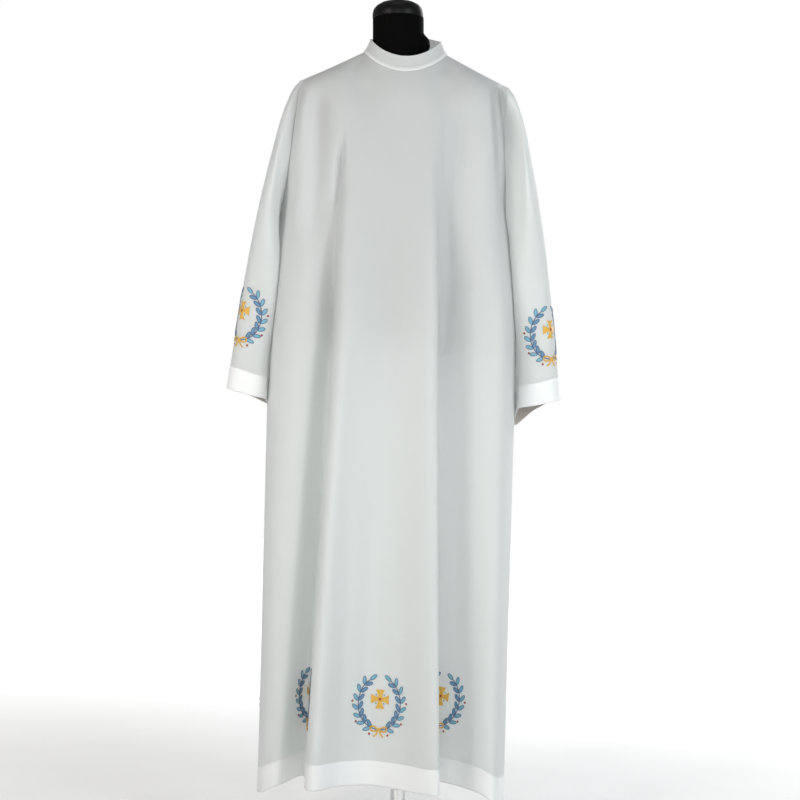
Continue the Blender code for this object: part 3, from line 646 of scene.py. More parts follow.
def body_grid(folds, front):
    """The body's front or back in its own frame, hem row first."""
    numbers = fold_numbers(folds)
    columns = np.arange(numbers[-1] * FINER + 1) / FINER
    at = np.interp(columns, numbers, range(len(folds)))
    shares = np.interp(columns, numbers, [fold.share for fold in folds])

    def row(height):
        fall = 1 - min((height - HEM_HEIGHT) / (UNDERARM - HEM_HEIGHT), 1.0)
        lifts = HEM_LIFT * fall * np.cos(pi / 2 * abs(shares) ** HEM_LIFT_POWER)
        return np.column_stack([body_plan(folds, height, front, at), height + lifts])

    hem_top = HEM_HEIGHT + HEM_DEPTH
    heights = np.concatenate([
        np.linspace(HEM_HEIGHT, hem_top, HEM_ROWS + 1)[:-1],
        np.linspace(hem_top, UNDERARM, SKIRT_ROWS + 1)[:-1],
        np.linspace(UNDERARM, YOKE, ARMHOLE_ROWS + 1),
    ])
    rows = [row(height) for height in heights]
    low, below = rows[-1], row(YOKE - YOKE_BELOW)
    tops, ways = (np.array(part) for part in zip(*(top_place(c, folds, front) for c in columns)))
    reach = np.linalg.norm(tops - low, axis=1)[:, None] * YOKE_REACH
    a, b = low + unit(low - below) * reach, tops - ways * reach
    for t in np.linspace(0, 1, YOKE_ROWS + 1)[1:]:
        s = 1 - t
        rows.append(low * s**3 + a * (3 * s * s * t) + b * (3 * s * t * t) + tops * t**3)
    points = relaxed(np.array(rows), HEM_ROWS + SKIRT_ROWS + ARMHOLE_ROWS // 2)
    to_top = smooth_step(np.arange(len(points))[::-1] / YOKE_ROWS * 4)[:, None]
    hollows, inward = (FRONT_HOLLOWS, 1) if front else (BACK_HOLLOWS, -1)
    points[:, :, 1] += inward * (sink(points, hollows) + waves(points)) * to_top
    return points


def clear_of(tree, points, least, above=0.0, below=9.0):
    """The points, moved out where they are nearer to the surface in the tree than that."""
    moved = points.copy()
    for place in np.ndindex(points.shape[:-1]):
        if not above < points[place][2] < below:
            continue
        near, normal, _, far = tree.find_nearest(Vector(points[place]))
        out = (Vector(points[place]) - near).dot(normal)
        squarely = far < least or abs(out) > SQUARELY * far
        if far < CLEAR_REACH and out < least and squarely:
            moved[place] = near + normal * least
    return moved


def form_tree():
    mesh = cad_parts["form_torso"].data
    return BVHTree.FromPolygons([v.co for v in mesh.vertices], [p.vertices[:] for p in mesh.polygons])


# ---- Sleeves and collar ----
def sleeve_ring(side, share, angles):
    """Points of a sleeve round one ring, away from the armhole."""
    ring = Ring(*row_at(SLEEVE_RINGS, share))
    out = 1 if side == "left" else -1
    c = np.abs(np.cos(angles)) ** (2 / ring.power) * np.sign(np.cos(angles))
    s = np.abs(np.sin(angles)) ** (2 / ring.power) * np.sign(np.sin(angles))
    x = (ring.outer_x + ring.inner_x) / 2 + c * (ring.outer_x - ring.inner_x) / 2
    nestles = [getattr(nestle, side) for nestle in SLEEVE_NESTLES]
    reaches = curve_through([nestle.share for nestle in SLEEVE_NESTLES], nestles, share)
    for angle, reach in zip(NESTLE_ANGLES, reaches):
        x -= reach * np.exp(-(((angles - radians(angle)) / radians(NESTLE_WIDTH)) ** 2))
    z = (ring.outer_z + ring.inner_z) / 2 + c * (ring.outer_z - ring.inner_z) / 2
    y = (ring.front + ring.back) / 2 + s * (ring.front - ring.back) / 2
    corner = np.maximum(0.0, np.cos(angles - radians(BACK_CORNER)))
    z -= BACK_DROP[side] * corner**DROP_POWER * smooth_step((share - DROP_BEGINS) / (1 - DROP_BEGINS))
    for crease in SLEEVE_CREASES:
        off = (angles - radians(crease.angle)) / radians(crease.angle_width)
        down = (share - crease.share) / crease.share_width
        y += crease.depth * np.exp(-off * off - down * down) * np.where(s > 0, 1, -1)
    return on_the_form(np.stack([out * x, y, z], axis=1))


def grid_tree(grids):
    """The cloths' outer sides, to ask how near a point is."""
    points, quads = [], []
    for grid in grids:
        high, wide = grid.shape[:2]
        first = len(points)
        points += grid.reshape(-1, 3).tolist()
        for r in range(high - 1):
            for c in range(wide - 1):
                low = first + r * wide + c
                quads.append((low, low + 1, low + wide + 1, low + wide))
    return BVHTree.FromPolygons(points, quads)


def sleeve_grid(front, back, side, body):
    low = HEM_ROWS + SKIRT_ROWS
    end = -1 if side == "left" else 0
    down, up = front[low:, end][::-1], back[low:, end]
    loop = np.concatenate([down, up[1:-1]])
    lengths = lengths_along(np.concatenate([loop, loop[:1]]), 0)
    angles = np.interp(lengths, [0.0, lengths[len(down) - 1], lengths[-1]], [0.0, pi, 2 * pi])[:-1]
    first = sleeve_ring(side, 0.0, angles)
    rings = []
    for share in np.linspace(0.0, 1.0, SLEEVE_ROWS + 1):
        point = sleeve_ring(side, share, angles)
        rings.append(mixed(loop + point - first, point, smooth_step(share / SEWN_SHARE)))
    rings = np.array(rings)
    for number, ring in enumerate(rings):
        least = BODY_CLEAR * smooth_step(number / SLEEVE_ROWS / SEWN_SHARE)
        if number > SLEEVE_ROWS * SEWN_SHARE / 4:
            rings[number] = clear_of(body, ring, least, below=CLEAR_TOP)
    return rings if side == "left" else rings[:, ::-1]


def collar_grid(front, back, form):
    """From the middle of the back round the wearer's right to the middle again, the seam row first."""
    base, turns, faces = [], [], []
    front_first, front_last = (int(round(c * FINER)) for c in neck_columns(FRONT_FOLDS))
    first, last = (int(round(c * FINER)) for c in neck_columns(BACK_FOLDS))
    middle = (first + last) // 2
    for is_front, columns in (
        (False, range(middle, first, -1)),
        (True, range(front_first, front_last)),
        (False, range(last, middle - 1, -1)),
    ):
        grid, folds = (front, FRONT_FOLDS) if is_front else (back, BACK_FOLDS)
        for c in columns:
            base.append(grid[-1][c])
            turns.append(neck_turn(c / FINER, folds))
            faces.append(is_front)
    base, turns, faces = np.array(base), np.array(turns), np.array(faces)
    depth = np.where(faces, COLLAR_TOP_FRONT[1], COLLAR_TOP_BACK[1])
    height = np.where(faces, COLLAR_TOP_FRONT[2], COLLAR_TOP_BACK[2])
    dip = np.maximum(np.cos(turns), 0.0) ** NECK_DIP_POWER
    tip = on_the_form(np.stack([
        COLLAR_TOP_HALF * np.sin(turns), depth * np.cos(turns), mixed(COLLAR_TOP_SIDE, height, dip),
    ], axis=1))
    rings = np.array([mixed(base, tip, share) for share in COLLAR_SHARES])
    rings[1:] = clear_of(form, rings[1:], COLLAR_WALL + COLLAR_CLEAR)
    shares = np.array(COLLAR_SHARES)[:, None, None]
    bulge = np.exp(-(((shares - ROLL_AT) / ROLL_WIDTH) ** 2))
    roll = COLLAR_ROLL * bulge + COLLAR_LIP * smooth_step((shares - LIP_FROM) / LIP_WIDTH)
    return rings + Cloth(rings).normals * roll - np.array([0.0, 0.0, COLLAR_DROP]) * bulge


def parted(grid, edge):
    """The grid with one edge column drawn in, to stand off from its neighbour, and more along the slit."""
    points, step = grid.copy(), 1 if edge == 0 else -1
    way = unit(grid[:, edge + step] - grid[:, edge])
    open_share = smooth_step((grid[:, edge, 2:] - SLIT_END) / SLIT_EASE)
    points[:, edge] += way * mixed(SEAM_APART, SLIT_APART, open_share)
    return points


# ---- Modelling by hand ----
def mode(name):
    bpy.ops.object.mode_set(mode=name)


def choose_all():
    bpy.ops.mesh.select_all(action="SELECT")


def move(value):
    bpy.ops.transform.translate(value=value)


def resize(value, center=(0.0, 0.0, 0.0)):
    bpy.ops.transform.resize(value=value, center_override=center)


def primitive(kind, **sizes):
    """Adds a primitive with nothing else selected, and opens it for editing."""
    bpy.ops.object.select_all(action="DESELECT")
    getattr(bpy.ops.mesh, f"primitive_{kind}_add")(**sizes)
    obj = bpy.context.object
    mode("EDIT")
    return obj


def choose(obj, wanted, kind="FACE"):
    """Selects only the vertices, edges or faces that are wanted."""
    bpy.ops.mesh.select_mode(type=kind)
    bpy.ops.mesh.select_all(action="DESELECT")
    mesh = bmesh.from_edit_mesh(obj.data)
    for part in {"VERT": mesh.verts, "EDGE": mesh.edges, "FACE": mesh.faces}[kind]:
        part.select_set(bool(wanted(part)))
    mesh.select_flush_mode()
    bmesh.update_edit_mesh(obj.data)


def middle_of(part):
    return sum((v.co for v in part.verts), Vector()) / len(part.verts)


def grow(value, size=(1.0, 1.0, 1.0), center=(0.0, 0.0, 0.0)):
    """Extrudes what is selected, and sizes its new end."""
    bpy.ops.mesh.extrude_region_move(TRANSFORM_OT_translate={"value": value})
    resize(size, center)


def shape_of(obj):
    """The points and faces of a modelled thing, which itself goes."""
    if obj.mode == "EDIT":
        mode("OBJECT")
    data = obj.data
    shape = Shape(np.array([v.co[:] for v in data.vertices]), [tuple(f.vertices) for f in data.polygons])
    bpy.data.objects.remove(obj)
    return shape


def mesh_piece(name, shape, finish=None):
    mesh = bpy.data.meshes.new(name)
    mesh.from_pydata(shape.points.tolist(), [], shape.faces)
    mesh.shade_smooth()
    return finished(new_object(name, mesh), name, finish)


# ---- Sewing ----
def modelled_stitch():
    """One stitch, a unit long and two units thick, with rounded ends."""
    obj = primitive("cylinder", vertices=6, radius=1.0, depth=STITCH_STRAIGHT, rotation=(0.0, pi / 2, 0.0))
    mode("OBJECT")
    bpy.ops.object.transform_apply(rotation=True)
    mode("EDIT")
    for side in (-1, 1):
        choose(obj, lambda face: face.normal.x * side > 0.9)
        end = (1 - STITCH_STRAIGHT) / 2 * side
        grow((end, 0.0, 0.0), (1.0, STITCH_TAPER, STITCH_TAPER), (0.5 * side, 0.0, 0.0))
    return shape_of(obj)


def stitch_row(cloth, rows, columns, stitch):
    """The points of stitches along a line on a cloth, given by the rows and columns that it passes."""
    columns = np.asarray(columns, float)
    points, normals = cloth.spot(np.broadcast_to(rows, columns.shape).astype(float), columns)
    arcs = lengths_along(points, 0)
    middles = np.arange(STITCH_PITCH / 2, arcs[-1], STITCH_PITCH)

    def along_line(values, at):
        return np.stack([np.interp(at, arcs, values[:, k]) for k in range(3)], axis=1)

    start, end = (along_line(points, middles + half) for half in (-STITCH_LONG / 2, STITCH_LONG / 2))
    out, along = unit(along_line(normals, middles)), end - start
    aside = unit(np.cross(out, along))
    local = stitch.points[None]
    placed = (start + end)[:, None] / 2 + along[:, None] * local[..., :1]
    thickness = aside[:, None] * local[..., 1:2] + out[:, None] * (local[..., 2:] + STITCH_STAND)
    return placed + thickness * STITCH_THICK


def sewn(name, runs, stitch, finish):
    """All the stitches of a cloth as one piece."""
    placed = np.concatenate(runs)
    size = len(stitch.points)
    faces = [tuple(size * k + v for v in face) for k in range(len(placed)) for face in stitch.faces]
    return mesh_piece(name, Shape(placed.reshape(-1, 3), faces), finish)


# ---- The emblem: two laurel branches round a cross, tied with a bow ----
def modelled_leaf():
    """A leaf a unit long that swells in its middle. Its rim is its first points."""
    obj = primitive("circle", vertices=LEAF_SIDES, radius=LEAF_BODY, fill_type="NGON")
    choose_all()
    for inset, rise in LEAF_INSETS:
        bpy.ops.mesh.inset(thickness=inset)
        move((0.0, 0.0, rise))
    bpy.ops.mesh.poke()
    choose_all()
    resize((1.0, LEAF_BODY, 1.0))
    for side in (-1, 1):
        choose(obj, lambda point: point.co.x * side > LEAF_BODY - 0.01, "VERT")
        move((LEAF_TIP * side, 0.0, 0.0))
    return shape_of(obj)


def modelled_dot():
    """Half a ball of satin stitches, a unit in radius."""
    obj = primitive("uv_sphere", segments=10, ring_count=6, radius=1.0)
    choose_all()
    bpy.ops.mesh.bisect(plane_co=(0.0, 0.0, 0.0), plane_no=(0.0, 0.0, 1.0), clear_inner=True)
    choose_all()
    resize((1.0, 1.0, 0.5))
    return shape_of(obj)


def modelled_cross():
    """A cross whose arms widen outwards, with a raised and bevelled face."""
    obj = primitive("plane", size=CROSS_HEART)
    for way in (Vector((1, 0, 0)), Vector((0, 1, 0)), Vector((-1, 0, 0)), Vector((0, -1, 0))):
        reach = CROSS_HEART / 2
        for step, widen in CROSS_STEPS:
            choose(obj, lambda edge: (middle_of(edge) - way * reach).length < 1e-5, "EDGE")
            grow(way * step, (1 + (widen - 1) * abs(way.y), 1 + (widen - 1) * abs(way.x), 1.0))
            reach += step
    bpy.ops.mesh.select_mode(type="FACE")
    choose_all()
    bpy.ops.mesh.normals_make_consistent()
    grow((0.0, 0.0, CROSS_RISE))
    bpy.ops.mesh.inset(thickness=CROSS_EDGE)
    move((0.0, 0.0, CROSS_RISE))
    choose_all()
    bpy.ops.mesh.normals_make_consistent()
    return shape_of(obj)


def modelled_cords(paths, radius):
    """Round threads along paths of points on the flat."""
    curve = bpy.data.curves.new("threads", "CURVE")
    curve.dimensions, curve.bevel_depth, curve.bevel_resolution, curve.use_fill_caps = "3D", radius, 1, True
    for path, closed in paths:
        spline = curve.splines.new("POLY")
        spline.points.add(len(path) - 1)
        places = np.column_stack([path, np.full(len(path), radius * CORD_SUNK), np.ones(len(path))])
        spline.points.foreach_set("co", places.ravel())
        spline.use_cyclic_u = closed
    only(new_object("threads", curve))
    bpy.ops.object.convert(target="MESH")
    return shape_of(bpy.context.object)


def put(points, size, turn, place):
    """Points sized, turned on the flat and moved."""
    c, n = cos(turn), sin(turn)
    turned = points @ np.array([[c, n, 0.0], [-n, c, 0.0], [0.0, 0.0, 1.0]]) if turn else points
    return turned * size + np.array([place[0], place[1], 0.0])


def branch(side):
    """A branch's leaves, each with its middle and turn, its berries, and its stem."""
    across = np.array([side, 1.0])
    angles = np.radians(np.linspace(*BRANCH_ARC, 25))
    stem = np.stack([BRANCH_X * np.cos(angles), BRANCH_Y * np.sin(angles)], axis=1) * across
    leaves, berries = [], []
    for number, angle in enumerate(np.radians(LEAF_ANGLES)):
        base = np.array([BRANCH_X * cos(angle), BRANCH_Y * sin(angle)])
        ahead = np.arctan2(BRANCH_Y * cos(angle), -BRANCH_X * sin(angle))
        for inner, spread in enumerate((-LEAF_SPREAD, LEAF_SPREAD)):
            way = np.array([cos(ahead + spread), sin(ahead + spread)])
            middle = (base + way * LEAF_LENGTH * LEAF_STANDS) * across
            leaves.append((middle, np.arctan2(way[1], way[0] * side), inner))
        if number in BERRY_LEAVES:
            berries.append((base + unit(base) * BERRY_OFF) * across)
    end = unit(stem[-1] - stem[-2])
    leaves.append((stem[-1] + end * LEAF_LENGTH * 0.5, np.arctan2(end[1], end[0]), 0))
    return leaves, berries, stem


def bow_paths():
    """Two loops and two loose ends, from the knot."""
    turn = np.linspace(0.0, 2 * pi, 19)[:-1]
    paths = []
    for side in (-1, 1):
        out = BOW_LOOP * (1 - np.cos(turn)) / 2
        up = BOW_LOOP * LOOP_SLIM * np.sin(turn) * np.sin(turn / 2) + LOOP_SAG * out
        paths.append((np.stack([side * out, up], axis=1) + BOW_KNOT, True))
        down = np.linspace(0.0, 1.0, 8)
        aside = side * (END_SPREAD[0] + END_SPREAD[1] * down) * down
        up = END_CURL * np.sin(6 * down) - BOW_END * down
        paths.append((np.stack([aside, up], axis=1) + BOW_KNOT, False))
    return paths


def flat_emblem():
    """The emblem on the flat: its shape, each face's thread, and the way that the threads run."""
    leaf, dot, cross = modelled_leaf(), modelled_dot(), modelled_cross()
    parts, outlines, stems = [], [], []
    for side in (1, -1):
        leaves, berries, stem = branch(side)
        stems.append((stem, False))
        for middle, way, inner in leaves:
            blade = put(leaf.points * (1.0, 1.0, LEAF_RISE / LEAF_LENGTH), LEAF_LENGTH, way, middle)
            parts.append((blade, leaf.faces, "mid_blue" if inner else "light_blue", way + LEAF_SLANT))
            outlines.append((blade[:LEAF_SIDES, :2], True))
        for berry in berries:
            parts.append((put(dot.points, BERRY_SIZE, 0.0, berry), dot.faces, "red", 0.4))
    for paths, radius, thread in (
        (outlines, OUTLINE_CORD, "slate"), (stems, STEM_CORD, "slate"), (bow_paths(), BOW_CORD, "gold"),
    ):
        cord = modelled_cords(paths, radius)
        parts.append((cord.points, cord.faces, thread, 0.7))
    parts.append((put(cross.points, 1.0, 0.0, CROSS_PLACE), cross.faces, "gold", pi / 4))
    centre = put(dot.points, CROSS_CENTRE, 0.0, CROSS_PLACE) + (0.0, 0.0, CENTRE_LIFT)
    knot = put(dot.points, KNOT_SIZE, 0.0, BOW_KNOT) + (0.0, 0.0, KNOT_LIFT)
    parts += [(centre, dot.faces, "red", 0.4), (knot, dot.faces, "gold", 0.0)]
    for corner in SQUARE:
        place = np.array(CROSS_PLACE) + np.array(corner) * GREEN_OFF
        parts.append((put(dot.points, GREEN_SIZE, 0.0, place), dot.faces, "green", 0.4))
    points, faces, colours, threads = [], [], [], []
    for placed, part_faces, thread, turn in parts:
        first = sum(len(p) for p in points)
        points.append(placed)
        faces += [tuple(first + v for v in face) for face in part_faces]
        colours += [list(THREADS).index(thread)] * len(part_faces)
        threads.append(placed[:, :2] @ np.array([[cos(turn), -sin(turn)], [sin(turn), cos(turn)]]))
    return Shape(np.concatenate(points), faces), colours, np.concatenate(threads)


def square_part(cloth, row, column):
    """The part of a sleeve round a spot, its rows square to the sleeve's length, the spot in the middle."""
    points = cloth.points
    way = unit(points[row + SLOPE_ROWS, column] - points[row - SLOPE_ROWS, column])
    down = points @ way
    levels = down[row, column] + np.linspace(-EMBLEM_ROOM, EMBLEM_ROOM, ROOM_LEVELS)
    columns = [
        np.stack([np.interp(levels, down[:, c], points[:, c, k]) for k in range(3)], axis=1)
        for c in range(points.shape[1])
    ]
    return Cloth(np.stack(columns, axis=1), closed=True)


def embroidered(name, cloth, emblem, places, finishes):
    """Every emblem on a cloth as one piece, each laid to the cloth's own curve. A place's way is -1 on a
    cloth whose rows run downwards."""
    shape, colours, threads = emblem
    size = len(shape.points)
    points, faces = [], []
    for number, (row, column, over, up, way) in enumerate(places):
        points.append(cloth.lay(row, column, shape.points * (way, way, 1.0) + (over, up, EMBLEM_LIFT)))
        faces += [tuple(size * number + v for v in face) for face in shape.faces]
    obj = mesh_piece(name, Shape(np.concatenate(points), faces), finishes)
    obj.data.polygons.foreach_set("material_index", colours * len(places))
    corners = np.empty(len(obj.data.loops), int)
    obj.data.loops.foreach_get("vertex_index", corners)
    along = np.tile(threads, (len(places), 1))[corners]
    obj.data.uv_layers.new(name="thread").data.foreach_set("uv", along.ravel())
    return obj


# ---- The button, form and stand ----
def hole_places():
    return [Vector((BUTTON_HOLES * x, BUTTON_HOLES * y, 0.0)) for x, y in SQUARE]


def modelled_button():
    """A button with a raised rim round a dish, and four holes."""
    obj = primitive("cylinder", vertices=40, radius=BUTTON_RADIUS, depth=BUTTON_THICK)
    choose(obj, lambda face: face.normal.z > 0.9)
    bpy.ops.mesh.inset(thickness=BUTTON_RIM)
    grow((0.0, 0.0, -BUTTON_DISH), (0.9, 0.9, 1.0))
    choose(obj, lambda face: face.normal.z < -0.9)
    bpy.ops.mesh.inset(thickness=BUTTON_RIM / 2)
    grow((0.0, 0.0, -BUTTON_DISH / 3), (0.8, 0.8, 1.0))
    mode("OBJECT")
    for place in hole_places():
        drill = primitive("cylinder", vertices=12, radius=HOLE_RADIUS, depth=4 * BUTTON_THICK, location=place)
        mode("OBJECT")
        hole = obj.modifiers.new("hole", "BOOLEAN")
        hole.operation, hole.object, hole.solver = "DIFFERENCE", drill, "EXACT"
        apply_modifiers(obj)
        bpy.data.objects.remove(drill)
    soft = obj.modifiers.new("soft_edges", "BEVEL")
    soft.width, soft.segments, soft.limit_method = BUTTON_SOFT, 2, "ANGLE"
    apply_modifiers(obj)
    return obj


def sewn_button(collar, plastic, thread):
    """The button and its thread, lying square on the collar where the CAD has it."""
    low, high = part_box("collar_button")
    tree = grid_tree([collar.points])
    near, normal, _, _ = tree.find_nearest((low + high) / 2)
    turn = normal.to_track_quat("Z", "Y").to_matrix().to_4x4()
    place = Matrix.Translation(near + normal * BUTTON_LIFT) @ turn
    button = modelled_button()
    over = BUTTON_THICK / 2 - BUTTON_DISH
    holes = [np.array(hole)[:2] for hole in hole_places()]
    crossing = [(np.linspace(a, b, 5), False) for a, b in (holes[0::2], holes[1::2])]
    cords = modelled_cords(crossing, BUTTON_CORD)
    strands = mesh_piece("strands", Shape(cords.points + (0.0, 0.0, over), cords.faces))
    shank = shape_of(primitive("cylinder", vertices=12, radius=SHANK_RADIUS, depth=BUTTON_LIFT))
    shank.points[:, 2] -= BUTTON_LIFT / 2
    core = mesh_piece("core", shank)
    for obj, name, finish in (
        (button, "collar_button_turned", plastic),
        (strands, "button_thread", thread),
        (core, "button_shank", thread),
    ):
        obj.parent = None
        obj.data.transform(place)
        obj.matrix_world = Matrix.Identity(4)
        only(obj)
        bpy.ops.object.shade_smooth_by_angle(angle=radians(35))
        finished(obj, name, finish)
    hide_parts("collar_button")


def widen_neck(obj):
    """Cuts rings into the foot of the neck and moves them out on one side."""
    mode("EDIT")
    for height in NECK_RINGS:
        choose_all()
        bpy.ops.mesh.bisect(plane_co=(0.0, 0.0, height), plane_no=(0.0, 0.0, 1.0))
    mode("OBJECT")
    top, low = NECK_RINGS[0], NECK_RINGS[-1]
    for point in obj.data.vertices:
        if low <= point.co.z <= top:
            off = Vector((point.co.x - NECK_MIDDLE[0], point.co.y - NECK_MIDDLE[1], 0.0))
            sideways = (max(off.x, 0.0) / off.length) ** 2
            opened = smooth_step((top - point.co.z) / FLARE_OPENS)
            share = opened * smooth_step((point.co.z - low) / FLARE_ENDS)
            point.co += off.normalized() * NECK_FLARE * float(share) * sideways


def smoothed(node, name, finish):
    """A merged and rounded copy of a hard CAD node, which stands for it."""
    obj = new_object(name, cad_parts[node].data.copy())
    obj.data.materials.clear()
    only(obj)
    mode("EDIT")
    choose_all()
    bpy.ops.mesh.remove_doubles(threshold=MERGED)
    bpy.ops.mesh.normals_make_consistent()
    bpy.ops.mesh.dissolve_limited(angle_limit=LEVEL_ANGLE)
    mode("OBJECT")
    if node == "form_torso":
        widen_neck(obj)
    soft = obj.modifiers.new("soft_edges", "BEVEL")
    soft.width, soft.segments, soft.limit_method, soft.angle_limit = SOFT_EDGE, 3, "ANGLE", SHARP_ANGLE
    apply_modifiers(obj)
    mode("EDIT")
    choose_all()
    bpy.ops.mesh.dissolve_degenerate(threshold=SLIVER)
    mode("OBJECT")
    bpy.ops.object.shade_smooth_by_angle(angle=SHARP_ANGLE)
    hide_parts(node)
    return finished(obj, name, finish)


# ---- Finishes ----
MIX_FIRST, MIX_SECOND, MIX_RESULT = 6, 7, 2  # a Mix node's colours among its sockets
BUMP_STRENGTH = 0.6
FIBRE = (1500.0, 70.0)  # how often a thread's thicker stretches change across it and along it, to a metre


def give(tree, node, inputs):
    """Sets a node's inputs, or links them where they are given an output."""
    for socket, value in dict(inputs).items():
        if isinstance(value, bpy.types.NodeSocket):
            tree.links.new(value, node.inputs[socket])
        else:
            node.inputs[socket].default_value = value


def add(tree, kind, inputs=(), **settings):
    """A node in a tree, with its settings and inputs."""
    made = tree.nodes.new("ShaderNode" + kind)
    for name, value in settings.items():
        setattr(made, name, value)
    give(tree, made, inputs)
    return made


def new_group(name, inputs, outputs):
    """A node group with its inputs, each with the value it starts from, and its outputs."""
    group = bpy.data.node_groups.new(name, "ShaderNodeTree")
    for socket, value in inputs.items():
        kind = "NodeSocketVector" if value is None else "NodeSocketFloat"
        made = group.interface.new_socket(name=socket, in_out="INPUT", socket_type=kind)
        if value is not None:
            made.default_value = value
    for socket in outputs:
        group.interface.new_socket(name=socket, in_out="OUTPUT", socket_type="NodeSocketFloat")
    return group, group.nodes.new("NodeGroupInput").outputs, group.nodes.new("NodeGroupOutput").inputs


def stretched_noise(group, place, stretch, detail=2.0):
    mapped = add(group, "Mapping", {"Vector": place, "Scale": stretch})
    return add(group, "TexNoise", {"Vector": mapped.outputs[0], "Scale": 1.0, "Detail": detail}).outputs[0]


def threads_across(group, place, pitch, axes):
    """Waves, one to each thread, along the axes of a place in metres."""
    turns = add(group, "Math", {0: 2 * pi, 1: pitch}, operation="DIVIDE").outputs[0]
    scaled = add(group, "VectorMath", {0: place, "Scale": turns}, operation="SCALE").outputs[0]
    split = add(group, "SeparateXYZ", {0: scaled}).outputs
    return [add(group, "Math", {0: split[axis]}, operation="SINE").outputs[0] for axis in axes]


def sum_of(group, parts):
    """Outputs added up, each times its share."""
    total = 0.0
    for output, share in parts:
        total = add(group, "Math", {0: output, 1: share, 2: total}, operation="MULTIPLY_ADD").outputs[0]
    return total


def plain_weave():
    """Threads over and under, thicker and thinner stretches in them, and slow cloudiness."""
    group, given, wanted = new_group(
        "plain weave", {"Vector": None, "Pitch": 0.0005, "Slubs": 1.0}, ["Height", "Shade"]
    )
    place = given["Vector"]
    warp, weft = threads_across(group, place, given["Pitch"], "XY")
    over_under = add(group, "Math", {0: warp, 1: weft}, operation="MULTIPLY").outputs[0]
    lengthwise = stretched_noise(group, place, (*FIBRE, 1.0))
    crosswise = stretched_noise(group, place, (*FIBRE[::-1], 1.0))
    slubs = sum_of(group, [(lengthwise, 0.5), (crosswise, 0.5)])
    slubs = add(group, "Math", {0: slubs, 1: given["Slubs"]}, operation="MULTIPLY").outputs[0]
    cloudy = stretched_noise(group, place, (9.0, 6.0, 9.0), 3.0)
    for name, parts in (
        ("Height", [(over_under, 0.35), (slubs, 0.8)]),
        ("Shade", [(slubs, 0.55), (cloudy, 0.5)]),
    ):
        group.links.new(sum_of(group, parts), wanted[name])
    return group


def satin_stitch():
    """Threads laid side by side, with a little difference from one to the next."""
    group, given, wanted = new_group("satin stitch", {"Vector": None, "Pitch": 0.0006}, ["Height", "Shade"])
    thread = threads_across(group, given["Vector"], given["Pitch"], "X")[0]
    uneven = stretched_noise(group, given["Vector"], (1600.0, 120.0, 1.0))
    group.links.new(sum_of(group, [(thread, 0.5), (uneven, 0.5)]), wanted["Height"])
    group.links.new(sum_of(group, [(thread, 0.18), (uneven, 1.0)]), wanted["Shade"])
    return group


def handled_surface():
    """Faint smudges and fine grain, on moulded plastic and painted things."""
    group, given, wanted = new_group(
        "handled surface", {"Vector": None, "Grain": 900.0, "Smudge": 14.0}, ["Height", "Shade", "Wear"]
    )
    for scale, name, detail in (("Grain", "Height", 1.0), ("Smudge", "Wear", 4.0)):
        spots = add(group, "TexNoise", {"Vector": given["Vector"], "Scale": given[scale], "Detail": detail})
        group.links.new(spots.outputs[0], wanted[name])
    slow = add(group, "TexNoise", {"Vector": given["Vector"], "Scale": 5.0, "Detail": 2.0})
    group.links.new(slow.outputs[0], wanted["Shade"])
    return group


def brushed_metal():
    """Long fine scratches up and down, and slow blotches."""
    group, given, wanted = new_group("brushed metal", {"Vector": None}, ["Height", "Shade", "Wear"])
    scratches = stretched_noise(group, given["Vector"], (1400.0, 1400.0, 14.0), 3.0)
    blotches = stretched_noise(group, given["Vector"], (16.0, 16.0, 9.0), 4.0)
    group.links.new(scratches, wanted["Height"])
    group.links.new(sum_of(group, [(scratches, 0.6), (blotches, 0.4)]), wanted["Shade"])
    group.links.new(blotches, wanted["Wear"])
    return group


Finish = namedtuple(
    "Finish", "name group values dark pale rough_low rough_high metallic depth place gloss", defaults=(0.5,)
)


def new_finish(finish):
    """A material whose colour, roughness and relief follow one of the groups."""
    made = bpy.data.materials.new(finish.name)
    made.use_nodes = True
    tree = made.node_tree
    if finish.place == "Object":
        where = add(tree, "TexCoord").outputs["Object"]
    else:
        where = add(tree, "UVMap", uv_map=finish.place).outputs["UV"]
    effect = add(tree, "Group", node_tree=finish.group)
    give(tree, effect, {"Vector": where, **finish.values})
    colours = {MIX_FIRST: (*finish.dark, 1.0), MIX_SECOND: (*finish.pale, 1.0)}
    tint = add(tree, "Mix", {"Factor": effect.outputs["Shade"], **colours}, data_type="RGBA")
    rough = add(tree, "MapRange", {
        "Value": effect.outputs["Wear" if "Wear" in effect.outputs else "Shade"],
        "To Min": finish.rough_low, "To Max": finish.rough_high,
    })
    height = effect.outputs["Height"]
    relief = add(tree, "Bump", {"Height": height, "Distance": finish.depth, "Strength": BUMP_STRENGTH})
    give(tree, tree.nodes["Principled BSDF"], {
        "Base Color": tint.outputs[MIX_RESULT],
        "Metallic": finish.metallic,
        "Roughness": rough.outputs[0],
        "Specular IOR Level": finish.gloss,
        "Normal": relief.outputs[0],
    })
    return made


def cloth_finish(look, weave):
    """Cloth that lets some of the light through."""
    made = new_finish(Finish(
        look.name, weave, {"Pitch": THREAD_PITCH}, look.dark, look.pale, 0.72, 0.88, 0.0, 0.00006, "cloth"
    ))
    tree = made.node_tree
    shader = tree.nodes["Principled BSDF"]
    give(tree, shader, {"Sheen Weight": 0.15, "Sheen Roughness": 0.4})
    through = add(tree, "BsdfTranslucent", {"Color": (*look.through, 1.0)})
    tree.links.new(shader.inputs["Normal"].links[0].from_socket, through.inputs["Normal"])
    both = add(tree, "MixShader", {0: look.see_through, 1: shader.outputs[0], 2: through.outputs[0]})
    give(tree, tree.nodes["Material Output"], {"Surface": both.outputs[0]})
    return made


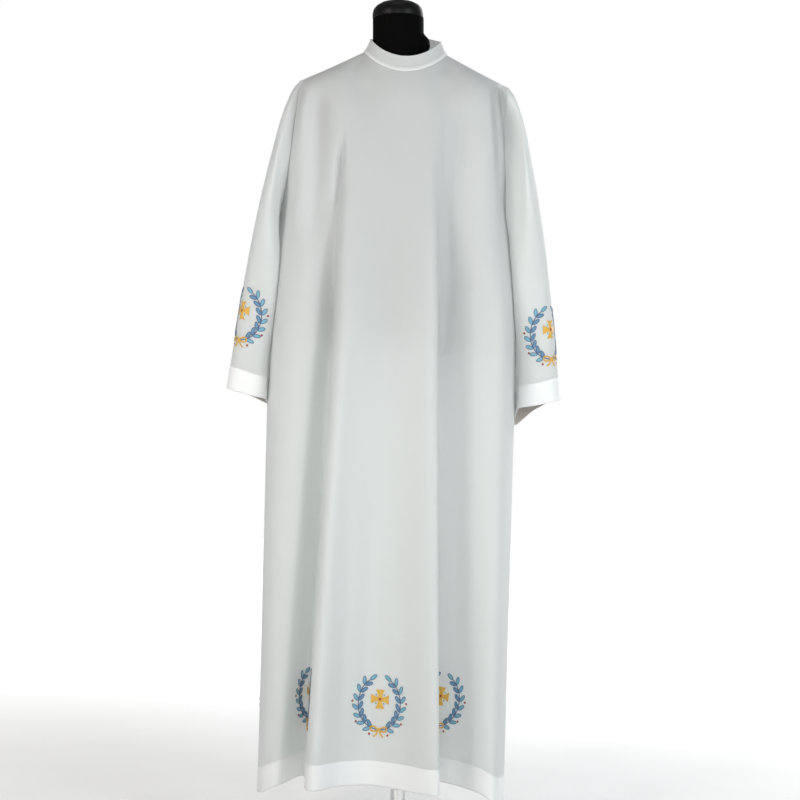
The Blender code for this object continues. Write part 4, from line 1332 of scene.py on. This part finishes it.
def thread_finish(thread, satin):
    name, dark, pale, rough = thread
    made = new_finish(Finish(name, satin, {}, dark, pale, rough, rough + 0.15, 0.0, 0.0002, "thread"))
    made.node_tree.nodes["Principled BSDF"].inputs["Sheen Weight"].default_value = 0.2
    return made


# ---- The view, light and floor ----
def make_view():
    camera = new_object("camera", bpy.data.cameras.new("camera"))
    camera.location = EYE
    camera.rotation_euler = (pi / 2, 0.0, 0.0)
    camera.data.lens, camera.data.sensor_width = LENS, SENSOR
    bpy.context.scene.camera = camera
    bpy.context.scene.view_settings.view_transform = "Standard"
    bpy.context.scene.cycles.diffuse_bounces = 8


def soft_light(softbox):
    light = new_object(softbox.name, bpy.data.lights.new(softbox.name, "AREA"))
    light.location = softbox.place
    light.rotation_euler = (Vector(LIT_SPOT) - Vector(softbox.place)).to_track_quat("-Z", "Y").to_euler()
    light.data.size, light.data.energy, light.data.color = softbox.size, softbox.power, softbox.colour


def make_studio(handled):
    world = bpy.data.worlds.new("studio")
    bpy.context.scene.world = world
    world.use_nodes = True
    tree = world.node_tree
    light = tree.nodes["Background"]
    give(tree, light, {"Color": WHITE, "Strength": AMBIENT})
    backdrop = add(tree, "Background", {"Color": WHITE})
    seen = add(tree, "LightPath").outputs["Is Camera Ray"]
    both = add(tree, "MixShader", {0: seen, 1: light.outputs[0], 2: backdrop.outputs[0]})
    give(tree, tree.nodes["World Output"], {"Surface": both.outputs[0]})
    for softbox in SOFTBOXES:
        soft_light(softbox)
    bpy.ops.mesh.primitive_plane_add(size=14.0, location=(0.0, 0.0, 0.0))
    floor = bpy.context.object
    floor.name = "floor"
    pale = new_finish(Finish(
        "pale floor", handled, {}, (0.80,) * 3, (0.86,) * 3, 0.85, 0.95, 0.0, 0.0001, "Object"
    ))
    tree = pale.node_tree
    far = add(tree, "VectorMath", {0: add(tree, "TexCoord").outputs["Object"]}, operation="LENGTH")
    glow = add(tree, "MapRange", {
        "Value": far.outputs["Value"],
        "From Min": GLOW_RISES[0], "From Max": GLOW_RISES[1], "To Min": NEAR_GLOW, "To Max": FAR_GLOW,
    }, interpolation_type="SMOOTHSTEP")
    shining = {"Emission Color": glow.outputs["Result"], "Emission Strength": 1.0}
    give(tree, tree.nodes["Principled BSDF"], shining)
    floor.data.materials.append(pale)


# ---- Everything ----
handled, weave, satin = handled_surface(), plain_weave(), satin_stitch()
make_view()
make_studio(handled)
white, doubled_white, hem_inside_painted_shade, cuff_inside_painted_shade, collar_white, rolled_white = (
    cloth_finish(look, weave) for look in CLOTH_LOOKS
)
form = form_tree()
wall = SOLID_WALL + FORM_CLEAR
front = clear_of(form, on_the_form(body_grid(FRONT_FOLDS, True)), wall, WAIST - CLEAR_REACH)
back = clear_of(form, on_the_form(body_grid(BACK_FOLDS, False)), wall, WAIST - CLEAR_REACH)
body = grid_tree([front, back[:, ::-1]])
middle = back.shape[1] // 2
cloths = {
    "alb_front": Cloth(front),
    "alb_back_right": Cloth(parted(back[:, middle::-1], 0)),
    "alb_back_left": Cloth(parted(back[:, :middle - 1:-1], -1)),
    "alb_sleeve_left": Cloth(sleeve_grid(front, back, "left", body), closed=True),
    "alb_sleeve_right": Cloth(sleeve_grid(front, back, "right", body), closed=True),
    "alb_collar": Cloth(parted(parted(collar_grid(front, back, form), 0), -1)),
}
jersey = new_finish(Finish(
    "black jersey", weave, {"Pitch": 0.0009, "Slubs": 0.5}, (0.0015,) * 3, (0.004,) * 3, 0.82, 0.94, 0.0,
    0.0001, "Object", 0.03
))
glossy = new_finish(Finish(
    "black moulded plastic", handled, {}, (0.002,) * 3, (0.004,) * 3, 0.34, 0.44, 0.0, 0.00002, "Object", 0.16
))
plastic = new_finish(Finish(
    "white button plastic", handled, {"Smudge": 300.0}, (0.80,) * 3, (0.90,) * 3, 0.18, 0.30, 0.0, 0.00002,
    "Object"
))
steel = new_finish(Finish(
    "brushed steel", brushed_metal(), {}, (0.84, 0.84, 0.85), (0.92, 0.92, 0.92), 0.34, 0.46, 1.0, 0.00001,
    "Object"
))
torso = smoothed("form_torso", "form_torso_jersey", jersey)
smoothed("form_neck_cap", "form_neck_cap_turned", glossy)
smoothed("form_knob", "form_knob_turned", glossy)
smoothed("stand_pole", "stand_pole_turned", steel)
smoothed("stand_foot", "stand_foot_turned", steel)

stitch = modelled_stitch()
emblem = flat_emblem()
sewing = new_finish(Finish(
    "white sewing thread", satin, {}, (0.80, 0.81, 0.80), (0.92, 0.93, 0.92), 0.45, 0.65, 0.0, 0.0001,
    "Object"
))
threads = [thread_finish(thread, satin) for thread in THREADS.values()]
panel_middle = int(fold_numbers(FRONT_FOLDS)[5]) * FINER
emblem_places = {
    "alb_front": [(0, panel_middle, over, EMBLEM_UP, 1) for over in FRONT_EMBLEMS],
    "alb_back_left": [(0, back.shape[1] - 1 - middle, -over, EMBLEM_UP, 1) for over in BACK_EMBLEMS],
    "alb_back_right": [(0, 0, over, EMBLEM_UP, 1) for over in BACK_EMBLEMS],
}
sleeve_spots = {}
for side, (row, over) in SLEEVE_EMBLEMS.items():
    outer = 0 if side == "left" else cloths["alb_sleeve_right"].points.shape[1] - 1
    sleeve_spots["alb_sleeve_" + side] = (row, outer)
    emblem_places["alb_sleeve_" + side] = [(ROOM_LEVELS // 2, outer, over, 0.0, -1)]
for node, cloth in cloths.items():
    columns = np.arange(cloth.points.shape[1] + cloth.closed)
    if node == "alb_collar":
        sewn_row = COLLAR_STITCH_ROW
        whites, doubled = [collar_white, rolled_white], range(COLLAR_ROLL_ROWS)
        piece = cloth_object(node + "_cloth", cloth, COLLAR_THICK, whites, doubled=doubled)
    else:
        sewn_row = SLEEVE_ROWS - CUFF_ROWS if cloth.closed else HEM_ROWS
        doubled = range(sewn_row, len(cloth.points)) if cloth.closed else range(sewn_row + 1)
        piece = cloth_object(node + "_cloth", cloth, CLOTH, [white, doubled_white], doubled=doubled)
        use = slice(doubled[0], doubled[-1] + 1)
        # Painted shade: the cuffs' turn-ups are dark taupe, and the hem's turn-up is greyed more mildly.
        inside = cuff_inside_painted_shade if cloth.closed else hem_inside_painted_shade
        cloth_object(node + "_turn_up", cloth, CLOTH, inside, use, UNDER)
    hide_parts(node)
    runs = [stitch_row(cloth, sewn_row, columns, stitch)]
    if node.startswith("alb_back"):
        rows = np.flatnonzero(back[:, middle, 2] > SLIT_END)
        beside = SLIT_STITCH_COLUMN
        if node == "alb_back_left":
            beside = cloth.points.shape[1] - 1 - beside
        runs.append(stitch_row(cloth, rows, np.full(len(rows), beside), stitch))
    sewn(node + "_stitches", runs, stitch, sewing)
    if node in emblem_places:
        under = square_part(cloth, *sleeve_spots[node]) if cloth.closed else cloth
        embroidered(node + "_emblems", under, emblem, emblem_places[node], threads)
    flat, area = cloth.cut()
sewn_button(cloths["alb_collar"], plastic, sewing)
